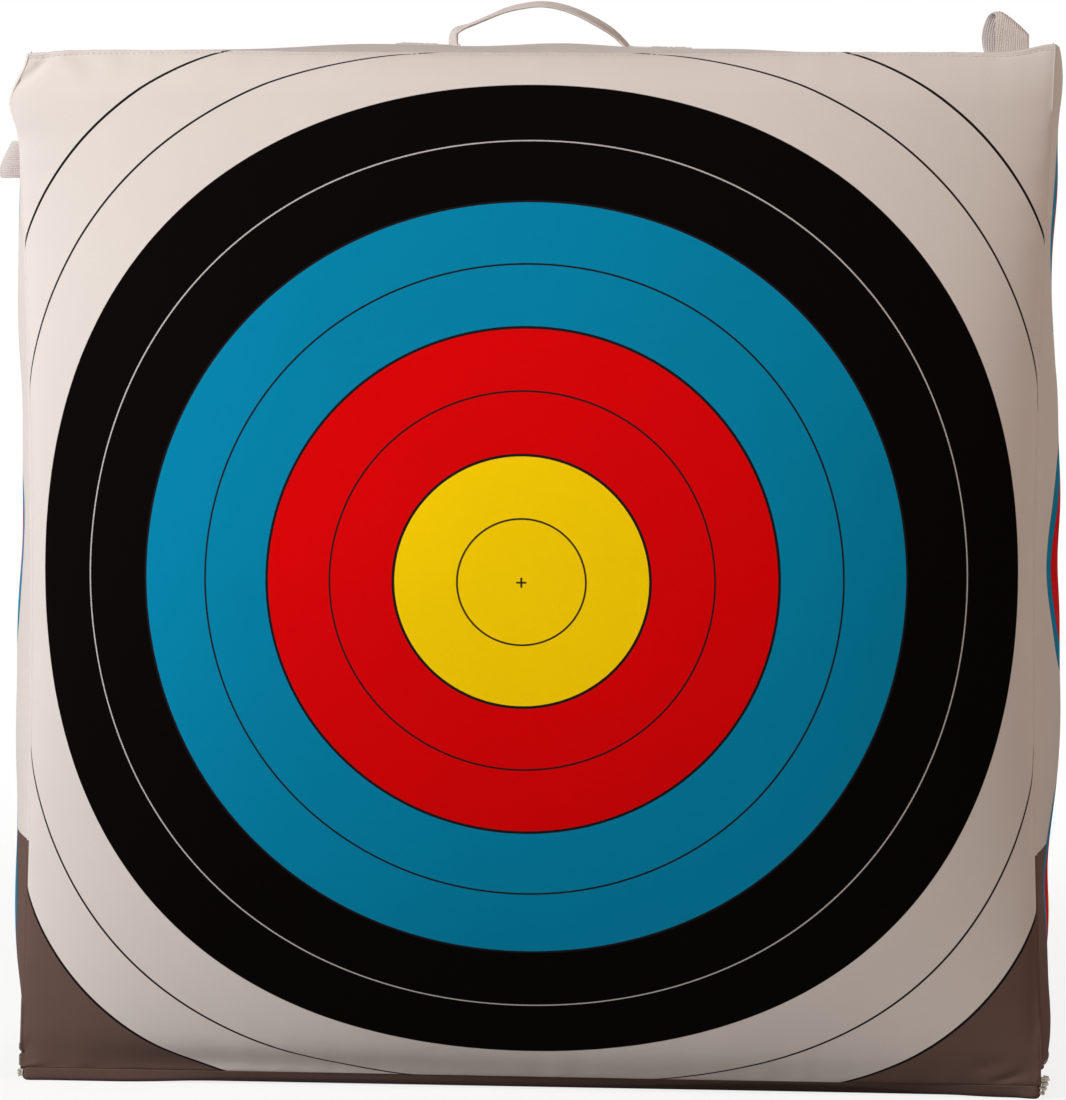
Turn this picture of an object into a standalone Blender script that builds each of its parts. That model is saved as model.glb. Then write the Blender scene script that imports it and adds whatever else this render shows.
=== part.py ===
"""Free-standing stuffed bag target for archery, with a printed ring face.

A six-panel sewn cover holds a tightly filled inner sack. The bottom panel is a flap that a zip
closes on its left, back and right edges and a plain seam hinges at the front. A webbing handle
sits on top and two webbing loops are sewn into the back seams.

Metres, +Z up. X runs to the right of somebody facing the ring face, and the ring face looks
along -Y. The origin is the middle of the flat underside that the bag stands on.
"""

import math

import bmesh
import bpy
from mathutils import Matrix, Vector

# Clearance between pieces that lie against each other
GAP = 0.0003

# Cover between its seams
END_HALF_WIDTH = 0.329
SIDE_DRAW_IN = 0.009
SEAM_DEPTH = 0.240
TOP_SEAM_Z = 0.664
BOTTOM_SEAM_Z = 0.009
CLOTH = 0.0012

# Swell of each panel beyond its seams. A higher power keeps more of a panel flat.
FRONT_CROWN = 0.068
BACK_CROWN = 0.060
SIDE_CROWN = 0.023
TOP_CROWN = 0.011
FACE_POWER = 4.0
EDGE_POWER = 2.0

# Seam allowance bound with tape inside the front and back seams
BINDING_THICKNESS = 0.0025
BINDING_DEPTH = 0.005

# Zip band round the bottom, with heights taken from the middle of the zip
ZIP_Z = 0.0105
HEM_ABOVE_ZIP = 0.0092
BAND_ABOVE_ZIP = 0.0163
RIM_BELOW_ZIP = 0.0050
ZIP_CORNER_RADIUS = 0.012
COIL_HEIGHT = 0.0030
COIL_PARTING = 0.0010
COIL_OUT = 0.0006
TAPE_THICKNESS = 0.0006
TAPE_PARTING = 0.0014
STOP_LENGTH = 0.0017

# Bottom flap, a shallow tray
FLAP_EDGE_RADIUS = 0.0030
FLAP_FRONT_RADIUS = 0.0040

# Slider and its pull
SLIDER_LENGTH = 0.015
SLIDER_WIDTH = 0.0114
SLIDER_PLATE = 0.0015
SLIDER_BACK_PLATE = 0.0012
SLIDER_POST_LENGTH = 0.0025
SLIDER_FROM_TAIL = 0.0044
BRIDGE_LENGTH = 0.010
BRIDGE_WIDTH = 0.0030
BRIDGE_BAR = 0.0010
BRIDGE_SPACE = 0.0028
BRIDGE_POST = 0.0012
PULL_LENGTH = 0.028
PULL_THICKNESS = 0.0012
PULL_BAR = 0.0014
PULL_SIDE_BAR = 0.0014
PULL_SIDE_PLAY = 0.0007
PULL_TURN_PLAY = 0.00035

# Ends of the zip tape, left outside the two front corners
LEFT_TAIL_OUT = 0.0022
LEFT_TAIL_DEPTH = 0.0038
RIGHT_TAIL_OUT = 0.0052
RIGHT_TAIL_DEPTH = 0.0090
TAIL_HEIGHT = 0.0100
TAIL_ABOVE_ZIP = 0.0019
TAIL_ROUNDING = 0.4

# Inner sack and its fill
SACK_SEAM_PLAY = 0.0005
SACK_PANEL_PLAY = 0.0004
SACK_WALL = 0.0008
SACK_MOUTH_LENGTH = 0.30
SACK_MOUTH_WIDTH = 0.045
CORE_THICKNESS = 0.080

# Webbing and the carrying handle. The powers square up the arch of the handle.
WEBBING_WIDTH = 0.025
WEBBING_THICKNESS = 0.0020
HANDLE_HALF_SPAN = 0.0575
HANDLE_HEIGHT = 0.0262
HANDLE_ACROSS_POWER = 0.6
HANDLE_UP_POWER = 0.9
HANDLE_ROOT_WIDTH = 0.013
HANDLE_ROOT_CLEARANCE = 0.0013
HANDLE_FOOT_LENGTH = 0.038
HANDLE_PATCH = 0.046
PATCH_THICKNESS = 0.0010

# Hanging loops of folded webbing
LOOP_THICKNESS = 0.0015
LOOP_ROOT_RADIUS = 0.0011
LOOP_TIP_RADIUS = 0.0050
LOOP_TAIL = 0.008
LOOP_AXIS_OUT = 0.0035
RIGHT_LOOP_FROM_CORNER = 0.023
RIGHT_LOOP_LENGTH = 0.028
LEFT_LOOP_BELOW_TOP = 0.069
LEFT_LOOP_LENGTH = 0.046

# Mesh density. Crowding draws the rows of a panel towards its edges.
FACE_CELLS = 14
DEPTH_CELLS = 6
FILL_CELLS = 10
PATCH_CELLS = 2
ARC_STEPS = 6
HANDLE_STEPS = 20
HANDLE_TAPER_STEPS = 3
FOOT_STEPS = 5
CROWDING = 0.3

# How far the blocks of the slider run into each other where they are joined
UNION_LAP = 0.0002

# Places and sizes that follow from those above
HALF_DEPTH = SEAM_DEPTH / 2
LINING_Y = HALF_DEPTH - CLOTH - GAP
HEM_Z = ZIP_Z + HEM_ABOVE_ZIP
BAND_TOP_Z = ZIP_Z + BAND_ABOVE_ZIP
FLAP_RIM_Z = ZIP_Z - RIM_BELOW_ZIP
FLAP_HINGE_Z = BOTTOM_SEAM_Z - GAP
ZIP_END_INSET = FLAP_FRONT_RADIUS + STOP_LENGTH + GAP
TAPE_IN = CLOTH + GAP
SLIDER_PARK_Y = -HALF_DEPTH + GAP + LEFT_TAIL_DEPTH + SLIDER_FROM_TAIL + SLIDER_LENGTH / 2
SLIDER_POST = COIL_PARTING - 2 * GAP
PULL_WIDTH = BRIDGE_WIDTH + 2 * (PULL_SIDE_PLAY + PULL_SIDE_BAR)
TOP_CENTRE_Z = TOP_SEAM_Z + TOP_CROWN
HANDLE_AXIS_Z = TOP_CENTRE_Z + HANDLE_ROOT_WIDTH / 2 + HANDLE_ROOT_CLEARANCE
LOOP_LAYER = 2 * LOOP_THICKNESS
LOOP_Y = LINING_Y - GAP - LOOP_LAYER / 2
LOOP_ROOT_END = LOOP_AXIS_OUT - LOOP_ROOT_RADIUS - LOOP_THICKNESS / 2 - GAP
RIGHT_LOOP_X = END_HALF_WIDTH - RIGHT_LOOP_FROM_CORNER
LEFT_LOOP_Z = TOP_SEAM_Z - LEFT_LOOP_BELOW_TOP
SACK_INSET = CLOTH + GAP + BINDING_DEPTH + SACK_SEAM_PLAY
SACK_SKIN = CLOTH + 2 * GAP + PATCH_THICKNESS + SACK_PANEL_PLAY


def clear_scene():
    for thing in list(bpy.data.objects):
        bpy.data.objects.remove(thing, do_unlink=True)


def finish(name, colour, roughness, metallic=0.0):
    """A plain finish with one colour, roughness and metallic value."""
    material = bpy.data.materials.new(name)
    material.use_nodes = True
    shader = material.node_tree.nodes["Principled BSDF"]
    shader.inputs["Base Color"].default_value = (*colour, 1.0)
    shader.inputs["Roughness"].default_value = roughness
    shader.inputs["Metallic"].default_value = metallic
    return material


def empty(name, place):
    marker = bpy.data.objects.new(name, None)
    marker.empty_display_size = 0.02
    marker.location = place
    bpy.context.scene.collection.objects.link(marker)
    return marker


def add_object(name, shape, material, origin=(0, 0, 0), parent=None):
    """Makes a shape drawn in world coordinates into an object with its origin at a point."""
    bmesh.ops.recalc_face_normals(shape, faces=shape.faces)
    bmesh.ops.translate(shape, verts=shape.verts, vec=-Vector(origin))
    mesh = bpy.data.meshes.new(name)
    shape.to_mesh(mesh)
    shape.free()
    mesh.materials.append(material)
    thing = bpy.data.objects.new(name, mesh)
    bpy.context.scene.collection.objects.link(thing)
    thing.parent = parent
    start = Vector(parent.location) if parent else Vector((0, 0, 0))
    thing.location = Vector(origin) - start
    return thing


def smooth(thing, angle=40.0):
    thing.data.shade_smooth()
    thing.data.set_sharp_from_angle(angle=math.radians(angle))


def bevel(thing, width, segments=2):
    modifier = thing.modifiers.new("rounded_edges", "BEVEL")
    modifier.width = width
    modifier.segments = segments
    modifier.limit_method = "ANGLE"


def cut(thing, cutter):
    modifier = thing.modifiers.new("slot", "BOOLEAN")
    modifier.operation = "DIFFERENCE"
    modifier.object = cutter


def hide_cutter(thing):
    thing.hide_render = True
    thing.display_type = "WIRE"


def unite(thing, block):
    modifier = thing.modifiers.new(block.name, "BOOLEAN")
    modifier.operation = "UNION"
    modifier.object = block


def box(first, second):
    """A box between two opposite corners."""
    low = Vector(map(min, first, second))
    high = Vector(map(max, first, second))
    size = Matrix.Diagonal((*(high - low), 1.0))
    place = Matrix.Translation((low + high) / 2)
    shape = bmesh.new()
    bmesh.ops.create_cube(shape, size=1.0, matrix=place @ size)
    return shape


def share(value, low, high):
    """Where a value lies between two others, from -1 to 1, held at those ends."""
    return max(-1.0, min(1.0, (2 * value - low - high) / (high - low)))


def swell(value, power):
    return 1.0 - abs(value) ** power


def half_width(z):
    """Half the width between the side seams, drawn in at mid-height."""
    return END_HALF_WIDTH - SIDE_DRAW_IN * swell(share(z, BAND_TOP_Z, TOP_SEAM_Z), 2.0)


def bag_point(a, b, z, c=0.0, inset=0.0, skin=0.0):
    """A point of the bag. a and b run from -1 to 1 across its width and depth, and c from 0 to
    1 up to its top. Its seams lie inset inside the cover's, and its panel middles skin inside.
    """
    top = TOP_SEAM_Z - inset
    body = swell(share(z, BAND_TOP_Z + inset, top), FACE_POWER)
    front = swell(share(z, BOTTOM_SEAM_Z + inset, top), FACE_POWER)
    side_swell = (SIDE_CROWN + inset - skin) * swell(b, EDGE_POWER) * body
    if b < 0:
        face_swell = (FRONT_CROWN + inset - skin) * front
    else:
        face_swell = (BACK_CROWN + inset - skin) * body
    top_swell = (TOP_CROWN + inset - skin) * swell(b, EDGE_POWER) * swell(a, FACE_POWER)
    x = a * (half_width(z) - inset + side_swell)
    y = b * (HALF_DEPTH - inset + face_swell * swell(a, FACE_POWER))
    return Vector((x, y, z + max(0.0, c) * top_swell))


def top_point(x, y, above):
    """A point over the top panel, at a height above its outer face."""
    top = bag_point(x / END_HALF_WIDTH, y / HALF_DEPTH, TOP_SEAM_Z, 1.0)
    return Vector((x, y, top.z + above))


def ease(value):
    """Spreads even steps from -1 to 1 so that they crowd towards both ends."""
    return (1 + CROWDING) * value - CROWDING * value**3


def lift(low, high, value):
    return low + (high - low) * (value + 1) / 2


def row_height(value, foot, shoulder, top, cells):
    """Height of a row of cells: the lowest is at the foot, the next at the shoulder, and the
    rest are spread from there to the top.
    """
    row = 2.0 / cells
    if value < row / 2 - 1:
        return foot
    return lift(shoulder, top, ease(2 * (value + 1 - row) / (2 - row) - 1))


def panel(cells_across, cells_up, place, inward):
    """A closed cloth panel: a grid laid on place(u, v), then thickened along inward."""
    shape = bmesh.new()
    bmesh.ops.create_grid(shape, x_segments=cells_across, y_segments=cells_up, size=1.0)
    for vertex in shape.verts:
        vertex.co = place(vertex.co.x, vertex.co.y)
    grown = bmesh.ops.extrude_face_region(shape, geom=list(shape.faces), use_keep_orig=True)
    moved = [item for item in grown["geom"] if isinstance(item, bmesh.types.BMVert)]
    bmesh.ops.translate(shape, verts=moved, vec=Vector(inward))
    return shape


def sweep(sections, closed=False):
    """Joins matching rings of points with quads, and caps the two ends unless it is closed."""
    shape = bmesh.new()
    rings = [[shape.verts.new(point) for point in section] for section in sections]
    pairs = list(zip(rings, rings[1:]))
    if closed:
        pairs.append((rings[-1], rings[0]))
    for ring, following in pairs:
        for index, vertex in enumerate(ring):
            after = (index + 1) % len(ring)
            shape.faces.new((vertex, ring[after], following[after], following[index]))
    if not closed:
        shape.faces.new(list(reversed(rings[0])))
        shape.faces.new(rings[-1])
    return shape


def arc(centre, radius, start, stop, steps):
    """Points of an arc in a plane, with both ends. Angles are in degrees."""
    points = []
    for step in range(steps + 1):
        angle = math.radians(start + (stop - start) * step / steps)
        points.append(Vector(centre) + Vector((math.cos(angle), math.sin(angle))) * radius)
    return points


# Cover panels


def make_front_panel():
    def place(u, v):
        z = row_height(v, BOTTOM_SEAM_Z, BAND_TOP_Z, TOP_SEAM_Z, FACE_CELLS)
        return bag_point(ease(u), -1.0, z)

    shape = panel(FACE_CELLS, FACE_CELLS, place, (0, CLOTH, 0))
    colour = finish("front_print", (0.80, 0.55, 0.02), 0.85)
    smooth(add_object("front_panel", shape, colour))


def make_back_panel():
    def place(u, v):
        z = row_height(v, HEM_Z, BAND_TOP_Z, TOP_SEAM_Z, FACE_CELLS)
        return bag_point(ease(u), 1.0, z)

    shape = panel(FACE_CELLS, FACE_CELLS, place, (0, -CLOTH, 0))
    colour = finish("back_print", (0.75, 0.02, 0.02), 0.85)
    smooth(add_object("back_panel", shape, colour))


def side_depth(value):
    """Depth share of a side or top panel, whose edges stop at the front and back panels."""
    return value * LINING_Y / HALF_DEPTH


def make_side_panel(name, side):
    top = TOP_SEAM_Z - CLOTH - GAP

    def place(u, v):
        z = row_height(v, HEM_Z, BAND_TOP_Z, top, FACE_CELLS)
        return bag_point(side, side_depth(u), z)

    shape = panel(DEPTH_CELLS, FACE_CELLS, place, (-side * CLOTH, 0, 0))
    colour = finish(name + "_print", (0.70, 0.66, 0.63), 0.85)
    thing = add_object(name, shape, colour)
    smooth(thing)
    return thing


def make_top_panel():
    def place(u, v):
        return bag_point(ease(u), side_depth(v), TOP_SEAM_Z, 1.0)

    shape = panel(FACE_CELLS, DEPTH_CELLS, place, (0, 0, -CLOTH))
    thing = add_object("top_panel", shape, finish("top_print", (0.78, 0.74, 0.71), 0.85))
    smooth(thing)
    return thing


# Bound seam allowances


def binding_section(x, z, inward_x, inward_z, sign):
    """Four corners of the binding at a point of the seam. sign is -1 in front and 1 behind."""
    front = sign * LINING_Y
    back = sign * (LINING_Y - BINDING_DEPTH)
    outer = CLOTH + GAP
    inner = outer + BINDING_THICKNESS
    return [
        Vector((x + inward_x * outer, front, z + inward_z * outer)),
        Vector((x + inward_x * outer, back, z + inward_z * outer)),
        Vector((x + inward_x * inner, back, z + inward_z * inner)),
        Vector((x + inward_x * inner, front, z + inward_z * inner)),
    ]


def side_run(side, low, high, steps, sign):
    """Sections of the binding along a side seam, between two heights."""
    sections = []
    for step in range(steps + 1):
        z = low + (high - low) * step / steps
        sections.append(binding_section(side * half_width(z), z, -side, 0, sign))
    return sections


def make_front_binding():
    corner = CLOTH + GAP + 2 * BINDING_THICKNESS
    low, high = BOTTOM_SEAM_Z + corner, TOP_SEAM_Z - corner
    sections = side_run(1, low, high, FACE_CELLS, -1)
    sections.append(binding_section(half_width(TOP_SEAM_Z), TOP_SEAM_Z, -1, -1, -1))
    sections.append(binding_section(-half_width(TOP_SEAM_Z), TOP_SEAM_Z, 1, -1, -1))
    sections += reversed(side_run(-1, low, high, FACE_CELLS, -1))
    sections.append(binding_section(-half_width(low), BOTTOM_SEAM_Z, 1, 1, -1))
    sections.append(binding_section(half_width(low), BOTTOM_SEAM_Z, -1, 1, -1))
    shape = sweep(sections, closed=True)
    add_object("front_seam_binding", shape, finish("binding_tape", (0.55, 0.50, 0.46), 0.9))


def make_back_binding():
    corner = CLOTH + GAP + 2 * BINDING_THICKNESS
    low, high = BAND_TOP_Z + GAP, TOP_SEAM_Z - corner
    sections = side_run(1, low, high, FACE_CELLS, 1)
    sections.append(binding_section(half_width(TOP_SEAM_Z), TOP_SEAM_Z, -1, -1, 1))
    sections.append(binding_section(-half_width(TOP_SEAM_Z), TOP_SEAM_Z, 1, -1, 1))
    sections += reversed(side_run(-1, low, high, FACE_CELLS, 1))
    colour = finish("back_binding_tape", (0.55, 0.50, 0.46), 0.9)
    return add_object("back_seam_binding", sweep(sections), colour)


# Zip round three sides of the bottom


def zip_path(depth_in, end_inset):
    """Plan points of the zip's U, depth_in inside the cover's outer face, left end first."""
    width = END_HALF_WIDTH - depth_in
    back = HALF_DEPTH - depth_in
    radius = ZIP_CORNER_RADIUS - depth_in
    corner_x, corner_y = width - radius, back - radius
    start = -HALF_DEPTH + end_inset
    points = [Vector((-width, start))]
    points += arc((-corner_x, corner_y), radius, 180, 90, ARC_STEPS)
    points += arc((corner_x, corner_y), radius, 90, 0, ARC_STEPS)
    points.append(Vector((width, start)))
    return points


def zip_strip(outer_in, inner_in, low, high, end_inset):
    """A strip on edge along the U, between two depths and two heights."""
    sections = []
    outer = zip_path(outer_in, end_inset)
    inner = zip_path(inner_in, end_inset)
    for out, into in zip(outer, inner):
        sections.append(
            [
                Vector((out.x, out.y, low)),
                Vector((out.x, out.y, high)),
                Vector((into.x, into.y, high)),
                Vector((into.x, into.y, low)),
            ]
        )
    return sweep(sections)


def make_zip(flap_hinge):
    tape = finish("zip_tape", (0.72, 0.67, 0.60), 0.9)
    coil = finish("zip_coil", (0.05, 0.05, 0.05), 0.45)
    behind = TAPE_IN + TAPE_THICKNESS
    tape_end = max(CLOTH + 2 * GAP + BINDING_DEPTH, FLAP_FRONT_RADIUS + GAP)
    low, high = ZIP_Z + TAPE_PARTING / 2, BAND_TOP_Z - GAP
    shape = zip_strip(TAPE_IN, behind, low, high, tape_end)
    add_object("zip_tape_cover", shape, tape)
    low, high = FLAP_EDGE_RADIUS + 2 * GAP, ZIP_Z - TAPE_PARTING / 2
    shape = zip_strip(TAPE_IN, behind, low, high, tape_end)
    add_object("zip_tape_flap", shape, tape, flap_hinge.location, flap_hinge)
    low = ZIP_Z + COIL_PARTING / 2
    shape = zip_strip(-COIL_OUT, CLOTH, low, low + COIL_HEIGHT, ZIP_END_INSET)
    smooth(add_object("zip_coil_cover", shape, coil))
    high = ZIP_Z - COIL_PARTING / 2
    shape = zip_strip(-COIL_OUT, CLOTH, high - COIL_HEIGHT, high, ZIP_END_INSET)
    smooth(add_object("zip_coil_flap", shape, coil, flap_hinge.location, flap_hinge))
    make_zip_stops()


def make_zip_stops():
    """One stop clamped on the tape ahead of each end of the cover's coil."""
    end = -HALF_DEPTH + ZIP_END_INSET - GAP
    low = ZIP_Z + COIL_PARTING / 2
    metal = finish("zip_stop", (0.10, 0.10, 0.10), 0.4)
    for name, side in (("zip_stop_left", -1), ("zip_stop_right", 1)):
        outer, inner = side * (END_HALF_WIDTH + COIL_OUT), side * (END_HALF_WIDTH - CLOTH)
        shape = box((outer, end - STOP_LENGTH, low), (inner, end, low + COIL_HEIGHT))
        add_object(name, shape, metal)


def make_tape_tails():
    """Ends of the zip tape, folded over and left outside the two front corners."""
    tape = finish("tape_tail", (0.74, 0.68, 0.60), 0.9)
    near = END_HALF_WIDTH + COIL_OUT + GAP
    front = -HALF_DEPTH + GAP
    top = ZIP_Z + TAIL_ABOVE_ZIP
    tails = (
        ("tape_end_left", -1, LEFT_TAIL_OUT, LEFT_TAIL_DEPTH),
        ("tape_end_right", 1, RIGHT_TAIL_OUT, RIGHT_TAIL_DEPTH),
    )
    for name, side, out, depth in tails:
        low = (side * near, front, top - TAIL_HEIGHT)
        high = (side * (near + out), front + depth, top)
        thing = add_object(name, box(low, high), tape)
        bevel(thing, out * TAIL_ROUNDING)
        smooth(thing)


# Bottom flap


def flap_outline(inset):
    """Plan of the flap, inset inside its edge, with round corners."""
    width, depth = END_HALF_WIDTH - inset, HALF_DEPTH - inset
    back = ZIP_CORNER_RADIUS - inset
    front = FLAP_FRONT_RADIUS - inset
    points = arc((width - back, depth - back), back, 0, 90, ARC_STEPS)
    points += arc((-width + back, depth - back), back, 90, 180, ARC_STEPS)
    points += arc((-width + front, -depth + front), front, 180, 270, ARC_STEPS)
    points += arc((width - front, -depth + front), front, 270, 360, ARC_STEPS)
    return points


def make_bottom_flap(flap_hinge):
    """A shallow tray of cloth with a rim, flat underneath and rounded up to the rim."""
    edge = FLAP_EDGE_RADIUS
    hinge_zone = -HALF_DEPTH + FLAP_FRONT_RADIUS / 2

    def rim(points):
        top = []
        for point in points:
            z = FLAP_HINGE_Z if point.y <= hinge_zone else FLAP_RIM_Z
            top.append(Vector((point.x, point.y, z)))
        return top

    def level(points, z):
        return [Vector((point.x, point.y, z)) for point in points]

    soft = edge * (1 - math.sqrt(0.5))
    rings = [
        level(flap_outline(edge), 0.0),
        level(flap_outline(soft), soft),
        level(flap_outline(0.0), edge),
        rim(flap_outline(0.0)),
        rim(flap_outline(CLOTH)),
        level(flap_outline(CLOTH), edge + GAP),
        level(flap_outline(edge + GAP), CLOTH),
    ]
    colour = finish("flap_print", (0.20, 0.16, 0.14), 0.9)
    add_object("bottom_flap", sweep(rings), colour, flap_hinge.location, flap_hinge)


# Slider and pull


def make_slider():
    """Two plates each side of the coils, a thin post between them and a bridge for the pull."""
    outer = -END_HALF_WIDTH - COIL_OUT - GAP
    inner = -END_HALF_WIDTH + TAPE_IN + TAPE_THICKNESS + GAP
    low_y, high_y = SLIDER_PARK_Y - SLIDER_LENGTH / 2, SLIDER_PARK_Y + SLIDER_LENGTH / 2
    low_z, high_z = ZIP_Z - SLIDER_WIDTH / 2, ZIP_Z + SLIDER_WIDTH / 2
    foot = outer - SLIDER_PLATE
    head = foot - BRIDGE_SPACE
    front, back = SLIDER_PARK_Y - BRIDGE_LENGTH / 2, SLIDER_PARK_Y + BRIDGE_LENGTH / 2
    low_bar, high_bar = ZIP_Z - BRIDGE_WIDTH / 2, ZIP_Z + BRIDGE_WIDTH / 2
    metal = finish("slider_metal", (0.06, 0.06, 0.06), 0.35, 0.8)
    plate = box((foot, low_y, low_z), (outer, high_y, high_z))
    slider = add_object("zip_slider", plate, metal, (outer, SLIDER_PARK_Y, ZIP_Z))
    blocks = {
        "slider_back_plate": ((inner, low_y, low_z), (inner + SLIDER_BACK_PLATE, high_y, high_z)),
        "slider_post": (
            (outer - UNION_LAP, low_y, ZIP_Z - SLIDER_POST / 2),
            (inner + UNION_LAP, low_y + SLIDER_POST_LENGTH, ZIP_Z + SLIDER_POST / 2),
        ),
        "bridge_front_post": (
            (head, front, low_bar),
            (foot + UNION_LAP, front + BRIDGE_POST, high_bar),
        ),
        "bridge_back_post": (
            (head, back - BRIDGE_POST, low_bar),
            (foot + UNION_LAP, back, high_bar),
        ),
        "bridge_bar": ((head - BRIDGE_BAR, front, low_bar), (head + UNION_LAP, back, high_bar)),
    }
    for name, (low, high) in blocks.items():
        block = add_object(name, box(low, high), metal)
        hide_cutter(block)
        unite(slider, block)
    return foot


def make_pull(bridge_foot):
    """A flat tab whose end bar lies under the slider's bridge. It points backwards at rest."""
    axis_x = bridge_foot - BRIDGE_SPACE / 2
    half = PULL_THICKNESS / 2
    end = SLIDER_PARK_Y - PULL_BAR / 2
    metal = finish("pull_metal", (0.60, 0.58, 0.55), 0.4, 0.7)
    low = (axis_x - half, end, ZIP_Z - PULL_WIDTH / 2)
    high = (axis_x + half, end + PULL_LENGTH, ZIP_Z + PULL_WIDTH / 2)
    pull = add_object("zip_pull", box(low, high), metal, (axis_x, SLIDER_PARK_Y, ZIP_Z))
    bridge_reach = math.hypot(BRIDGE_LENGTH / 2, BRIDGE_SPACE / 2 + BRIDGE_BAR)
    window_end = SLIDER_PARK_Y + bridge_reach + PULL_TURN_PLAY
    side = PULL_WIDTH / 2 - PULL_SIDE_BAR
    low = (axis_x - PULL_THICKNESS, end + PULL_BAR, ZIP_Z - side)
    high = (axis_x + PULL_THICKNESS, window_end, ZIP_Z + side)
    window = add_object("pull_window", box(low, high), metal)
    hide_cutter(window)
    cut(pull, window)


# Carrying handle


def handle_path():
    """Middle line of the handle's arch, with its outward normals, left end first."""
    rise = TOP_CENTRE_Z + HANDLE_HEIGHT - WEBBING_THICKNESS / 2 - HANDLE_AXIS_Z
    points = []
    for step in range(HANDLE_STEPS + 1):
        angle = math.pi * step / HANDLE_STEPS
        across, up = math.cos(angle), math.sin(angle)
        x = -HANDLE_HALF_SPAN * math.copysign(abs(across) ** HANDLE_ACROSS_POWER, across)
        points.append(Vector((x, HANDLE_AXIS_Z + rise * up**HANDLE_UP_POWER)))
    path = []
    for index, point in enumerate(points):
        before = points[max(index - 1, 0)]
        after = points[min(index + 1, HANDLE_STEPS)]
        along = (after - before).normalized()
        if index in (0, HANDLE_STEPS):
            along = Vector((0, 1 if index == 0 else -1))
        path.append((point, Vector((-along.y, along.x))))
    return path


def handle_section(point, normal, half):
    """Four corners of the strap at a point of its middle line."""
    outer = point + normal * WEBBING_THICKNESS / 2
    inner = point - normal * WEBBING_THICKNESS / 2
    return [
        Vector((outer.x, -half, outer.y)),
        Vector((outer.x, half, outer.y)),
        Vector((inner.x, half, inner.y)),
        Vector((inner.x, -half, inner.y)),
    ]


def handle_root(point, normal):
    """Sections of the round end below the swing axis, lowest first."""
    radius = HANDLE_ROOT_WIDTH / 2
    rows = []
    for step in range(1, ARC_STEPS):
        angle = math.radians(90 * step / ARC_STEPS)
        low = point - Vector((0, radius * math.cos(angle)))
        rows.append(handle_section(low, normal, radius * math.sin(angle)))
    return rows


def make_handle():
    """The arch of webbing that swings. Each root is narrowed and rounded about the swing axis."""
    path = handle_path()
    root = HANDLE_ROOT_WIDTH / 2
    sections = handle_root(*path[0])
    for index, (point, normal) in enumerate(path):
        from_root = min(index, HANDLE_STEPS - index)
        widened = min(1.0, from_root / HANDLE_TAPER_STEPS)
        half = root + (WEBBING_WIDTH / 2 - root) * widened
        sections.append(handle_section(point, normal, half))
    sections += reversed(handle_root(*path[-1]))
    webbing = finish("handle_webbing", (0.80, 0.76, 0.73), 0.8)
    smooth(add_object("handle_strap", sweep(sections), webbing, (0, 0, HANDLE_AXIS_Z)))


def make_handle_feet():
    """Webbing tails sewn flat on the top panel, each turned up beside a root of the handle."""
    thick = Vector((0, 0, WEBBING_THICKNESS))
    half = WEBBING_WIDTH / 2
    root = HANDLE_ROOT_WIDTH / 2
    near = HANDLE_HALF_SPAN + WEBBING_THICKNESS / 2 + GAP
    floor = TOP_CENTRE_Z + GAP + WEBBING_THICKNESS / 2
    for name, side in (("handle_foot_left", -1), ("handle_foot_right", 1)):
        rows = []
        for step in range(FOOT_STEPS + 1):
            x = side * (near + HANDLE_FOOT_LENGTH * step / FOOT_STEPS)
            front, back = top_point(x, -half, GAP), top_point(x, half, GAP)
            rows.append([front, back, back + thick, front + thick])
        webbing = finish(name + "_webbing", (0.80, 0.76, 0.73), 0.8)
        foot = add_object(name, sweep(rows), webbing)
        low = (side * near, -root, floor)
        high = (side * (near + WEBBING_THICKNESS), root, HANDLE_AXIS_Z + root)
        tab = add_object(name + "_tab", box(low, high), webbing)
        hide_cutter(tab)
        unite(foot, tab)


def make_handle_patches():
    """Squares of webbing under the top panel that back up each sewn tail."""
    for name, side in (("handle_patch_left", -1), ("handle_patch_right", 1)):
        middle = side * (HANDLE_HALF_SPAN + HANDLE_FOOT_LENGTH / 2)

        def place(u, v, middle=middle):
            x, y = middle + u * HANDLE_PATCH / 2, v * HANDLE_PATCH / 2
            return top_point(x, y, -CLOTH - 2 * GAP)

        shape = panel(PATCH_CELLS, PATCH_CELLS, place, (0, 0, -PATCH_THICKNESS))
        add_object(name, shape, finish(name + "_cloth", (0.55, 0.52, 0.50), 0.9))


# Hanging loops


def loop_outline(length, offset):
    """A loop of webbing edge on: a small round root and a larger round tip, joined by lines."""
    root, tip = LOOP_ROOT_RADIUS + offset, LOOP_TIP_RADIUS + offset
    lean = math.degrees(math.asin((tip - root) / length))
    points = arc((0, 0), root, 90 + lean, 270 - lean, ARC_STEPS)
    points += arc((length, 0), tip, -90 - lean, 90 + lean, 2 * ARC_STEPS)
    return points


def make_loop(name, length, to_world, origin):
    """The webbing ring of one loop. to_world turns along, across and width into a point."""
    outer = loop_outline(length, LOOP_THICKNESS / 2)
    inner = loop_outline(length, -LOOP_THICKNESS / 2)
    width = WEBBING_WIDTH / 2
    sections = []
    for out, into in zip(outer, inner):
        sections.append(
            [
                to_world(out.x, out.y, -width),
                to_world(out.x, out.y, width),
                to_world(into.x, into.y, width),
                to_world(into.x, into.y, -width),
            ]
        )
    webbing = finish(name + "_webbing", (0.76, 0.71, 0.68), 0.8)
    smooth(add_object(name, sweep(sections, closed=True), webbing, origin))


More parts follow.
